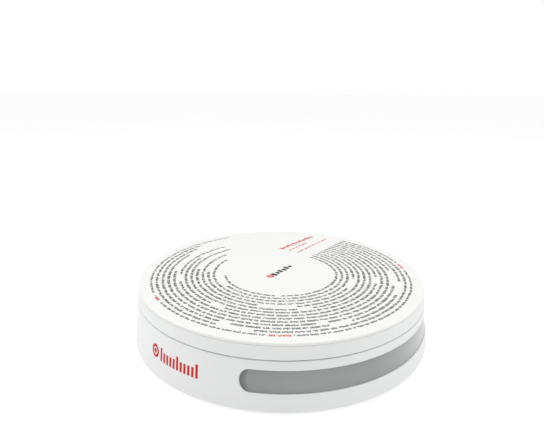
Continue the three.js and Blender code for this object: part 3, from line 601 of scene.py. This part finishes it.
def side_wall(bm):
    """The side of the base, with the window's opening and the two rear holes."""
    place = around(side_radius)
    low, high = BASE_BOTTOM + EDGE_ROUND, SEAM_BOTTOM - EDGE_ROUND
    half = math.pi * SIDE_RADIUS
    columns = [-half + 2 * half * i / ROUND for i in range(ROUND + 1)]
    outer = [(x, low) for x in columns] + [(x, high) for x in reversed(columns)]
    rows = [low + (high - low) * k / 12 for k in range(1, 12)]
    fill = [(x, y) for x in columns[1:-1] for y in rows]
    edge = OPENING_ROUND
    thickness = SIDE_RADIUS - WALL_INSIDE
    openings = [window_outline()] + rear_holes
    widest = [grown(hole, edge) for hole in openings]

    def free(point):
        return not any(inside(point, hole, 0.7) for hole in widest)

    fill = [p for p in fill if free(p)]
    outer_loops = sheet(bm, outer, widest, fill, place)
    inner_loops = sheet(bm, outer, openings, [p for p in fill if free(p)],
                        lambda x, y: place(x, y, thickness), flip=True)
    for index, hole in enumerate(openings):
        previous = outer_loops[index + 1]
        for k in range(1, 5):
            a = math.pi / 2 * k / 4
            ring = [bm.verts.new(Vector(place(x, y, edge * (1 - math.cos(a)))) * MM)
                    for x, y in grown(hole, edge * (1 - math.sin(a)))]
            bridge(bm, previous, ring)
            previous = ring
        bridge(bm, previous, inner_loops[index + 1])


def wall_edge(bm, height, way, end):
    """A rounded end of the side wall: up (way 1) or down (way -1) from a height to its end."""
    radius = side_radius(height)
    inner = radius - (SIDE_RADIUS - WALL_INSIDE)
    profile = [(radius, height)]
    for k in range(1, 6):
        a = math.radians(90 * way * k / 5)
        profile.append((radius - EDGE_ROUND + EDGE_ROUND * math.cos(a), height + EDGE_ROUND * math.sin(a)))
    lathe(bm, profile + [(inner, end), (inner, height)])


def base_shell():
    bm = bmesh.new()
    side_wall(bm)
    wall_edge(bm, BASE_BOTTOM + EDGE_ROUND, -1, BASE_BOTTOM)
    wall_edge(bm, SEAM_BOTTOM - EDGE_ROUND, 1, SEAM_BOTTOM)
    deck(bm)
    piece("base_shell_skin", bm, white_plastic, "base", ["base_shell"])


DECK_INSIDE = 78.0
DECK_THICKNESS = 2.4
LIP_INSIDE, LIP_OUTSIDE = 118.0, 119.6
POCKET_WIDTH, POCKET_LENGTH = 6.0, 11.6  # opening in the deck for a roller
CHEEK_GAP, CHEEK_THICKNESS, CHEEK_HALF, CHEEK_HEIGHT = 6.6, 3.0, 3.0, 2.6
BOSS_BORE, BOSS_RADIUS, BOSS_BOTTOM = 1.8, 4.5, 6.3


def turned(x, y, angle):
    return (x * math.cos(angle) - y * math.sin(angle), x * math.sin(angle) + y * math.cos(angle))


def about(centre):
    """Places a body made about z = 0, x = 0 so that it stands at a centre."""
    return lambda x, y, z: (centre.x + x, centre.y + y, z)


def deck(bm):
    """The ring under the platter, with a pocket for each support roller, and the lip round it."""
    rollers = [f"support_roller_{number}" for number in range(1, 5)]
    across, along = POCKET_WIDTH / 2, POCKET_LENGTH / 2
    pockets = []
    for name in rollers:
        centre, angle = middle(name), direction(name)
        corners = rounded_rectangle(-across, across, -along, along, 0.8, 3.0, 5)
        turns = [turned(x, y, angle) for x, y in corners]
        pockets.append([(centre.x + x, centre.y + y) for x, y in turns])
    rim = circle(0, 0, WALL_INSIDE + 0.2, ROUND)
    opening = circle(0, 0, DECK_INSIDE, 180)
    slab(bm, rim, [opening] + pockets, [], lambda x, y, z: (x, y, z),
         SEAM_BOTTOM - DECK_THICKNESS, SEAM_BOTTOM, 0.3)
    lip_foot = SEAM_BOTTOM - 0.5
    lathe(bm, fillet([
        (LIP_INSIDE, lip_foot, 0), (LIP_OUTSIDE, lip_foot, 0), (LIP_OUTSIDE, shell_hi.z, 0.4),
        (LIP_INSIDE, shell_hi.z, 0.4), (LIP_INSIDE, lip_foot, 0),
    ]))
    for name in rollers:
        centre, angle = middle(name), direction(name)
        for side in (-1, 1):
            inner = math.hypot(centre.x, centre.y) + side * CHEEK_GAP / 2
            x0, x1 = sorted((inner, inner + side * CHEEK_THICKNESS))
            block(bm, x0, x1, -CHEEK_HALF, CHEEK_HALF, centre.z - CHEEK_HEIGHT, centre.z + CHEEK_HEIGHT,
                  lambda x, y, z, a=angle: (*turned(x, y, a), z), 0.35)
    root = SEAM_BOTTOM - 1
    for number in range(1, 5):
        lathe(bm, fillet([
            (BOSS_BORE, BOSS_BOTTOM, 0), (BOSS_RADIUS, BOSS_BOTTOM, 0.3), (BOSS_RADIUS, root, 0),
            (BOSS_BORE, root, 0), (BOSS_BORE, BOSS_BOTTOM, 0),
        ]), 40, about(middle(f"cover_screw_{number}")))


PANE_ROUND = 0.2
PANE_ROOT = 0.6  # how far the pane reaches into its flange
FLANGE_THICKNESS = 2.0
PANE_GRID = (2.0, 1.8)  # spacing of the pane's inner points, along and up


def light_window():
    """The smoky pane, set a little behind the side, on a wider flange."""
    bm = bmesh.new()
    place = around(lambda y: SIDE_RADIUS)
    outline = window_outline(-PANE_GAP)
    flange = window_outline(WINDOW_MARGIN)
    centre = (WINDOW_BOTTOM + WINDOW_TOP) / 2
    first, last = unrolled(WINDOW_START) + 4.0, unrolled(WINDOW_END) - 3.0
    along, up = PANE_GRID
    columns = [first + along * k for k in range(int((last - first) / along) + 1)]
    fill = [(x, centre + up * k) for x in columns for k in range(-3, 4)]
    flange_face = FLANGE_RADIUS - SIDE_RADIUS

    def outwards(x, y, height):
        return place(x, y, -height)

    slab(bm, outline, [], fill, outwards, flange_face - PANE_ROOT, -WINDOW_RECESS, PANE_ROUND)
    slab(bm, flange, [], fill, outwards, flange_face - FLANGE_THICKNESS, flange_face, 0.3)
    piece("light_window_pane", bm, diffuser, "base", ["light_window"])


def feet():
    """Rubber discs with a shallow ring groove in the sole."""
    for number in range(1, 5):
        low, high = span(f"foot_{number}")
        radius = (high.x - low.x) / 2
        groove = low.z + 0.35
        profile = fillet([
            (0, low.z, 0), (radius - 2.6, low.z, 0), (radius - 2.3, groove, 0),
            (radius - 1.9, groove, 0), (radius - 1.6, low.z, 0.1),
            (radius - 0.9, low.z, 0.3), (radius, low.z + 1, 0.5), (radius, high.z, 0.2),
            (0, high.z, 0),
        ])
        bm = bmesh.new()
        lathe(bm, profile, 72, about((low + high) / 2))
        piece(f"rubber_foot_{number}", bm, rubber, "base", [f"foot_{number}"])


# ---------------------------------------------------------------- platter


GROOVE = 0.35  # depth of the fine groove between the plate and the platter
PLATTER_THICKNESS = 2.4
SKIRT_INSIDE = 121.0
TRACK_INSIDE, TRACK_OUTSIDE, TRACK_HEIGHT = 95.0, 105.0, 2.6
HUB_BORE, HUB_RADIUS = 6.0, 34.0
RIB_COUNT = 8
RIB_HALF = 0.9
PLATE_ROUND = 0.3


def platter():
    """The turning dish: a skirt with soft edges, a track for the rollers, ribs and a hub."""
    floor = platter_hi.z - PLATTER_THICKNESS
    track = platter_lo.z + TRACK_HEIGHT
    pad = platter_hi.z + 0.25  # the plate rests on a pad, which leaves the groove round it
    bm = bmesh.new()
    lathe(bm, fillet([
        (0, pad, 0), (SIDE_RADIUS - GROOVE, pad, 0), (SIDE_RADIUS - GROOVE, platter_hi.z, 0),
        (SIDE_RADIUS, platter_hi.z, 0.2), (SIDE_RADIUS, SEAM_TOP, 0.3),
        (SKIRT_INSIDE, SEAM_TOP, 0.3), (SKIRT_INSIDE, floor, 0.8), (TRACK_OUTSIDE, floor, 0.5),
        (TRACK_OUTSIDE, track, 0.3), (TRACK_INSIDE, track, 0.3), (TRACK_INSIDE, floor, 0.5),
        (0, floor, 0),
    ]))
    hub, root = gear_hi.z + 0.3, floor + 0.5
    lathe(bm, fillet([
        (HUB_BORE, hub, 0.2), (HUB_RADIUS, hub, 0.4), (HUB_RADIUS, root, 0), (HUB_BORE, root, 0),
        (HUB_BORE, hub, 0.2),
    ]), 120)
    for k in range(RIB_COUNT):
        angle = TAU * (k + 0.5) / RIB_COUNT
        block(bm, HUB_RADIUS - 1, SKIRT_INSIDE + 1, -RIB_HALF, RIB_HALF, track + 0.3, root,
              lambda x, y, z, a=angle: (*turned(x, y, a), z), 0.3)
    piece("platter_dish", bm, white_plastic, "turning_platter", ["platter"])


def top_plate():
    bm = bmesh.new()
    lathe(bm, fillet([
        (0, plate_lo.z, 0), (SIDE_RADIUS, plate_lo.z, 0.15), (SIDE_RADIUS, PLATE_TOP, PLATE_ROUND),
        (60, PLATE_TOP, 0), (0, PLATE_TOP, 0),
    ], 6), ROUND)
    piece("printed_plate", bm, printed_plastic, "turning_platter", ["top_plate"])


# ---------------------------------------------------------------- prints

INK = 0.03  # the ink stands this far above its surface, and reaches as far below it

RING_FIRST = 50.0
RING_PITCH = 4.93
RING_HEIGHT = 2.45
RING_START = 54.8  # direction, in degrees, of the line where every row begins
ROW_SWEEPS = (225, 200, 265, 235, 275, 240, 285, 260, 285, 235, 260, 270, 275, 295)
ROW_GAPS = {  # row: where each blank stretch starts and ends, in degrees from the row's start
    0: ((145, 150),),
    3: ((65, 85),),
    4: ((135, 160),),
    5: ((125, 135),),
    7: ((60, 70), (175, 185)),
    8: ((220, 230),),
    10: ((50, 70), (125, 130)),
    11: ((65, 80), (115, 125), (165, 170)),
    12: ((155, 170),),
    13: ((40, 50), (140, 150), (200, 210)),
}
ACCENTS = ((42, 48), (141, 149), (202, 208))  # red stretches in the gaps of the outer row


def mark(bm, outline, place):
    """A thin closed layer of ink with the given outline."""
    low = [bm.verts.new(Vector(place(x, y, -INK)) * MM) for x, y in outline]
    high = [bm.verts.new(Vector(place(x, y, INK)) * MM) for x, y in outline]
    bm.faces.new(reversed(low))
    bm.faces.new(high)
    bridge(bm, low, high)


def bar(bm, x0, x1, y0, y1, place):
    mark(bm, [(x0, y0), (x1, y0), (x1, y1), (x0, y1)], place)


def flat_ring(bm, radius, width, place, steps=36):
    """A flat ring of ink, from quad to quad."""
    for i in range(steps):
        a, b = (math.radians(360 * k / steps) for k in (i, i + 1))
        inner, outer = radius - width / 2, radius + width / 2
        mark(bm, [(inner * math.cos(a), inner * math.sin(a)), (outer * math.cos(a), outer * math.sin(a)),
                  (outer * math.cos(b), outer * math.sin(b)), (inner * math.cos(b), inner * math.sin(b))],
             place)


def strokes(bm, place, length, height, rng, weight=1.0):
    """A row of short strokes in groups, along x from 0 to a length."""
    x = 0.0
    while True:
        for _ in range(rng.randint(3, 9)):
            width = rng.uniform(0.55, 1.0) * weight
            if x + width > length:
                return
            low, high = rng.choice(((0, 1), (0, 1), (0, 1), (0, 0.7), (0.3, 1)))
            bar(bm, x, x + width, height * low, height * high, place)
            x += width + rng.uniform(0.28, 0.4) * weight
        x += rng.uniform(0.9, 1.5)


def on_plate(x0, y0, turn):
    """Places a row on the plate, from a point and along a direction in degrees."""
    c, s = math.cos(math.radians(turn)), math.sin(math.radians(turn))
    return lambda x, y, z: (x0 + x * c - y * s, y0 + x * s + y * c, PLATE_TOP + z)


def on_ring(radius, begin):
    """Places a row clockwise round the plate, from an angle in degrees after the start line."""
    start = math.radians(RING_START - begin)

    def place(x, y, z):
        a = start - x / radius
        reach = radius + y - RING_HEIGHT / 2
        return reach * math.cos(a), reach * math.sin(a), PLATE_TOP + z
    return place


def ring_rows(dark, red):
    """Rings of short strokes, with blank stretches, like the scales of an instrument."""
    rng = random.Random(7)
    for row, sweep in enumerate(ROW_SWEEPS):
        radius = RING_FIRST + RING_PITCH * row
        last = row == len(ROW_SWEEPS) - 1
        weight = 0.85 if row < 4 else 0.8 if last else 1.05
        height = RING_HEIGHT * (0.85 if last else 1.0)
        begin = 0.0
        for stop, resume in (*ROW_GAPS.get(row, ()), (sweep, None)):
            length = math.radians(stop - begin) * radius
            strokes(dark, on_ring(radius, begin), length, height, rng, weight)
            begin = resume
    for begin, end in ACCENTS:
        strokes(red, on_ring(radius, begin), math.radians(end - begin) * radius, RING_HEIGHT, rng, 1.3)


HEADLINE = (2.0, 63.0, 52.0)  # where each print is placed, in x and y, and its direction in degrees
SHORT_ROW = (9.0, 58.0, 54.0)
LONG_ROW = (18.0, 53.5, 54.5)
TARGET = (-9.0, -9.0, 0.0)
TARGET_BARS = (-4.6, -7.6, 56.0)


def headline(red):
    """Bold bars and two fine rows beside the start line."""
    rng = random.Random(11)
    place = on_plate(*HEADLINE)
    x = 0.0
    for group in (5, 9):
        for k in range(group):
            bar(red, x, x + 2.5, 0 if k % 2 else -0.9, 3.2 if k % 3 else 4.6, place)
            x += 3.8
        x += 1.6
    strokes(red, on_plate(*SHORT_ROW), 33, 2.0, rng, 0.9)
    strokes(red, on_plate(*LONG_ROW), 54.5, 2.0, rng, 0.9)


def target(dark, red):
    """A small ring target near the middle and a row of bold bars."""
    ring_target(red, 3.3, on_plate(*TARGET))
    place = on_plate(*TARGET_BARS)
    for k in range(6):
        x = 5.0 * k
        bar(dark, x, x + 3.4, 0 if k % 3 else -0.8, 4.2 if k % 2 else 5.6, place)


def ring_target(bm, radius, place):
    """A ring with a dot in its middle."""
    width = radius * 0.42
    flat_ring(bm, radius - width / 2, width, place)
    mark(bm, circle(0, 0, radius * 0.36, 24), place)


SIDE_MARK_MIDDLE = -128.2  # direction of the side mark, in degrees
SIDE_MARK_LENGTH = 50.8
SIDE_MARK_LOW = 13.9
SIDE_MARK_HEIGHT = 9.3
SCALE_BARS, SCALE_STEP, SCALE_BAR, SCALE_SHORT = 11, 3.6, 2.1, 6.6  # count, pitch, width, low height


def on_side(x0, z0):
    """Places a print on the side of the base: x runs along it, y upwards."""
    place = around(side_radius)
    return lambda x, y, z: place(x0 + x, z0 + y, -z)


def side_mark(red):
    """A ring target and a scale of bars."""
    half = SIDE_MARK_HEIGHT / 2
    left = unrolled(math.radians(SIDE_MARK_MIDDLE)) - SIDE_MARK_LENGTH / 2
    ring_target(red, half, on_side(left + half, SIDE_MARK_LOW + half))
    place = on_side(left + SIDE_MARK_HEIGHT + 2.4, SIDE_MARK_LOW)
    for k in range(SCALE_BARS):
        x = SCALE_STEP * k
        bar(red, x, x + SCALE_BAR, 0, SIDE_MARK_HEIGHT if k % 5 == 0 else SCALE_SHORT, place)


def prints():
    dark, red, side = bmesh.new(), bmesh.new(), bmesh.new()
    ring_rows(dark, red)
    headline(red)
    target(dark, red)
    side_mark(side)
    piece("plate_print_dark", dark, dark_ink, "turning_platter")
    piece("plate_print_red", red, red_ink, "turning_platter")
    piece("side_print_red", side, red_ink, "base")


# ---------------------------------------------------------------- rear and underside


BUTTON_RADIUS = 5.0
BUTTON_FLANGE = (118.2, 119.6)  # in y, behind the side
BUTTON_STEM = 2.0
BARREL_START = 112.8  # y where the socket's round barrel begins
BARREL_RADIUS, BARREL_BORE = 4.9, 3.2
SHOULDER_END = 120.0  # y where the socket's square body ends
SHOULDER_HALF = 5.0
SOCKET_PIN = 1.1


def along_y(x0, z0):
    """Turns a body made about z so that it lies along y, about the given x and z."""
    return lambda x, y, z: (x0 + x, z, z0 + y)


def power_button():
    """A push button with a dished face and a flange that stops it behind the side."""
    face = button_hi.y
    inner, outer = BUTTON_FLANGE
    flange = (button_hi.x - button_lo.x) / 2
    bm = bmesh.new()
    lathe(bm, fillet([
        (0, button_lo.y, 0), (BUTTON_STEM, button_lo.y, 0.2), (BUTTON_STEM, inner, 0.3),
        (flange, inner, 0.2), (flange, outer, 0.3), (BUTTON_RADIUS, outer, 0.1),
        (BUTTON_RADIUS, face, 0.6), (3.4, face, 0.5), (2.2, face - 0.35, 2), (0, face - 0.4, 0),
    ]), 72, along_y(middle("power_button").x, REAR_AXIS))
    piece("power_button_cap", bm, white_plastic, "button", ["power_button"])


def power_socket():
    """A round socket with a centre pin, on a square body."""
    x = middle("power_socket").x
    rim = socket_hi.y
    bm = bmesh.new()
    block(bm, socket_lo.x, socket_hi.x, socket_lo.y, BARREL_START, socket_lo.z, socket_hi.z, edge=0.4)
    lathe(bm, fillet([
        (BARREL_BORE, BARREL_START, 0), (BARREL_RADIUS, BARREL_START, 0), (BARREL_RADIUS, rim, 0.35),
        (BARREL_BORE, rim, 0.35), (BARREL_BORE, BARREL_START, 0),
    ]), 64, along_y(x, REAR_AXIS))
    shoulder = rounded_rectangle(-SHOULDER_HALF, SHOULDER_HALF, socket_lo.z - REAR_AXIS,
                                 socket_hi.z - REAR_AXIS, 0.6, 3, 4)
    slab(bm, shoulder, [circle(0, 0, BARREL_RADIUS - 0.3, 48)], [],
         lambda across, up, out: (x + across, out, REAR_AXIS + up), BARREL_START - 0.2, SHOULDER_END, 0.3)
    piece("power_socket_shell", bm, black_plastic, "base", ["power_socket"])
    bm = bmesh.new()
    lathe(bm, fillet([(0, BARREL_START, 0), (SOCKET_PIN, BARREL_START, 0), (SOCKET_PIN, rim - 0.8, 0.7),
                      (0, rim - 0.8, 0)]), 32, along_y(x, REAR_AXIS))
    piece("power_socket_pin", bm, steel, "base", ())


SCREW_HEAD_HEIGHT = 1.7
SCREW_SHANK = 1.5
KEY_DEPTH = 1.1


def cover_screws():
    """Socket screws in the bottom cover, heads down."""
    for number in range(1, 5):
        low, high = span(f"cover_screw_{number}")
        head = (high.x - low.x) / 2
        seat = low.z + SCREW_HEAD_HEIGHT
        key = low.z + KEY_DEPTH
        place = about((low + high) / 2)
        bm = bmesh.new()
        slab(bm, circle(0, 0, head, 48), [circle(0, 0, head / 2, 6)], [], place, low.z, seat, 0.25)
        lathe(bm, fillet([(0, key, 0), (head * 0.7, key, 0), (head * 0.7, seat, 0),
                          (SCREW_SHANK, seat, 0), (SCREW_SHANK, high.z, 0.4), (0, high.z, 0)]), 32, place)
        piece(f"cover_screw_{number}_head", bm, steel, "base", [f"cover_screw_{number}"])


# ---------------------------------------------------------------- the other CAD nodes

NODE_SLOTS = (  # part of a node's name and its finish, first match wins
    ("connector", "plate_plastic"), ("plunger", "plate_plastic"), ("screw", "steel"),
    ("bearing", "steel"), ("spindle", "steel"), ("gear_pin", "steel"), ("roller_pin", "steel"),
    ("motor_shaft", "steel"), ("motor_bracket", "steel"), ("pinion", "brass"),
    ("drive_motor", "motor_metal"), ("capacitor", "motor_metal"), ("gear", "gear_plastic"),
    ("roller", "black_plastic"), ("board", "circuit_board"), ("strip", "circuit_board"),
    ("radio", "shield_metal"), ("magnet", "shield_metal"), ("driver", "black_plastic"),
    ("sensor", "black_plastic"), ("switch", "black_plastic"), ("cable", "cable_jacket"),
)


NODE_BEVEL = 0.12
NODE_WELD = 0.005


def dress_nodes():
    """Gives every shown CAD node its material and fine bevelled edges."""
    for name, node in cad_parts.items():
        slot = next((s for key, s in NODE_SLOTS if key in name), "white_plastic")
        mesh = node.data
        mesh.materials.clear()
        mesh.materials.append(FINISHES[slot])
        if "custom_normal" in mesh.attributes:
            mesh.attributes.remove(mesh.attributes["custom_normal"])
        mesh.shade_smooth()
        weld = node.modifiers.new("weld", "WELD")
        weld.merge_threshold = NODE_WELD * MM
        bevel = node.modifiers.new("edges", "BEVEL")
        bevel.width = NODE_BEVEL * MM
        bevel.segments = 2
        bevel.limit_method = "ANGLE"
        bevel.angle_limit = math.radians(35)
        bevel.harden_normals = True


# ---------------------------------------------------------------- studio

AMBIENT_LIGHT = 0.60
TOP_LIGHT = 0.60
# name, place in metres, power in watts; every softbox faces the middle of the turntable
SOFTBOXES = [
    ("overhead_softbox", (0.0, 0.0, 1.4), 5.0),
    ("left_softbox", (-1.15, 0.0, 0.35), 3.4),
    ("right_softbox", (1.15, 0.0, 0.35), 3.1),
]
SOFTBOX_SIZE = 1.0
FLOOR_GLOW = 0.6
FLOOR_HALF = 6.0  # metres


def studio():
    scene = bpy.context.scene
    scene.view_settings.view_transform = "Standard"
    scene.view_settings.look = "None"

    world = bpy.data.worlds.new("studio")
    scene.world = world
    world.use_nodes = True
    tree = world.node_tree
    tree.nodes.clear()
    output = tree.nodes.new("ShaderNodeOutputWorld")
    seen = tree.nodes.new("ShaderNodeBackground")
    lit = tree.nodes.new("ShaderNodeBackground")
    chosen = tree.nodes.new("ShaderNodeMixShader")
    path = tree.nodes.new("ShaderNodeLightPath")
    coordinates = tree.nodes.new("ShaderNodeTexCoord")
    axes = tree.nodes.new("ShaderNodeSeparateXYZ")
    seen.inputs["Color"].default_value = (1, 1, 1, 1)
    seen.inputs["Strength"].default_value = 1.0

    # brighter overhead than at the sides
    tree.links.new(coordinates.outputs["Generated"], axes.inputs["Vector"])
    above = arithmetic(tree, "MAXIMUM", axes.outputs["Z"], 0.0)
    level = arithmetic(tree, "MULTIPLY_ADD", above, TOP_LIGHT, AMBIENT_LIGHT)
    tree.links.new(level, lit.inputs["Strength"])
    tree.links.new(path.outputs["Is Camera Ray"], chosen.inputs["Fac"])
    tree.links.new(lit.outputs["Background"], chosen.inputs[1])
    tree.links.new(seen.outputs["Background"], chosen.inputs[2])
    tree.links.new(chosen.outputs["Shader"], output.inputs["Surface"])

    mesh = bpy.data.meshes.new("floor")
    half = FLOOR_HALF
    mesh.from_pydata([(-half, -half, 0), (half, -half, 0), (half, half, 0), (-half, half, 0)],
                     [], [(0, 1, 2, 3)])
    floor = bpy.data.objects.new("floor", mesh)
    scene.collection.objects.link(floor)
    paper = Finish("paper", (0.45, 0.45, 0.45), 0.9, specular=0.1)
    paper.tint(3, (0.44, 0.44, 0.44))
    paper.shader.inputs["Emission Color"].default_value = (1, 1, 1, 1)
    paper.shader.inputs["Emission Strength"].default_value = FLOOR_GLOW
    mesh.materials.append(paper.material)

    for name, place, power in SOFTBOXES:
        light = bpy.data.lights.new(name, "AREA")
        light.energy = power
        light.size = SOFTBOX_SIZE
        softbox = bpy.data.objects.new(name, light)
        softbox.location = place
        softbox.rotation_euler = Vector(place).to_track_quat("Z", "Y").to_euler()
        scene.collection.objects.link(softbox)


# ---------------------------------------------------------------- camera

# Solved so that a body 250 mm across and 45 mm high lies over the photo. The photo's true centre is
# unknown: other centres fit about as well, with heights from 41 to 49 mm.
CAMERA_PLACE = Vector((0.0, -482.117, 222.531)) * MM
CAMERA_RISE = 0.07043  # the camera looks up by this, in radians
CAMERA_TURN = -0.0196
CAMERA_ROLL = 0.00792
CAMERA_LENS = 34.285
LENS_DROP = -0.3290  # the lens is shifted down, as with a view camera


def camera():
    look = Vector((
        math.sin(CAMERA_TURN) * math.cos(CAMERA_RISE),
        math.cos(CAMERA_TURN) * math.cos(CAMERA_RISE),
        math.sin(CAMERA_RISE),
    ))
    right = Vector((math.cos(CAMERA_TURN), -math.sin(CAMERA_TURN), 0))
    up = right.cross(look)
    level, tilt = math.cos(CAMERA_ROLL), math.sin(CAMERA_ROLL)
    x_axis = right * level + up * tilt
    y_axis = up * level - right * tilt
    matrix = Matrix((x_axis, y_axis, -look)).transposed().to_4x4()
    matrix.translation = CAMERA_PLACE
    data = bpy.data.cameras.new("camera")
    data.lens = CAMERA_LENS
    data.sensor_width = 36
    data.clip_start = 0.01
    obj = bpy.data.objects.new("camera", data)
    stand = bpy.data.objects.new("camera_stand", None)
    for made in (obj, stand):
        bpy.context.scene.collection.objects.link(made)
        made.matrix_world = matrix
    bpy.context.scene.camera = obj
    # the shift belongs to this view only: it goes once the camera turns away from its stand
    curve = data.driver_add("shift_y")
    curve.driver.type = "AVERAGE"
    angle = curve.driver.variables.new()
    angle.type = "ROTATION_DIFF"
    angle.targets[0].id = obj
    angle.targets[1].id = stand
    for modifier in list(curve.modifiers):
        curve.modifiers.remove(modifier)
    for turn, shift in ((0.0, LENS_DROP), (0.02, LENS_DROP), (0.03, 0.0), (4.0, 0.0)):
        key = curve.keyframe_points.insert(turn, shift)
        key.interpolation = "LINEAR"


base_shell()
light_window()
feet()
platter()
top_plate()
prints()
power_button()
power_socket()
cover_screws()
dress_nodes()
studio()
camera()
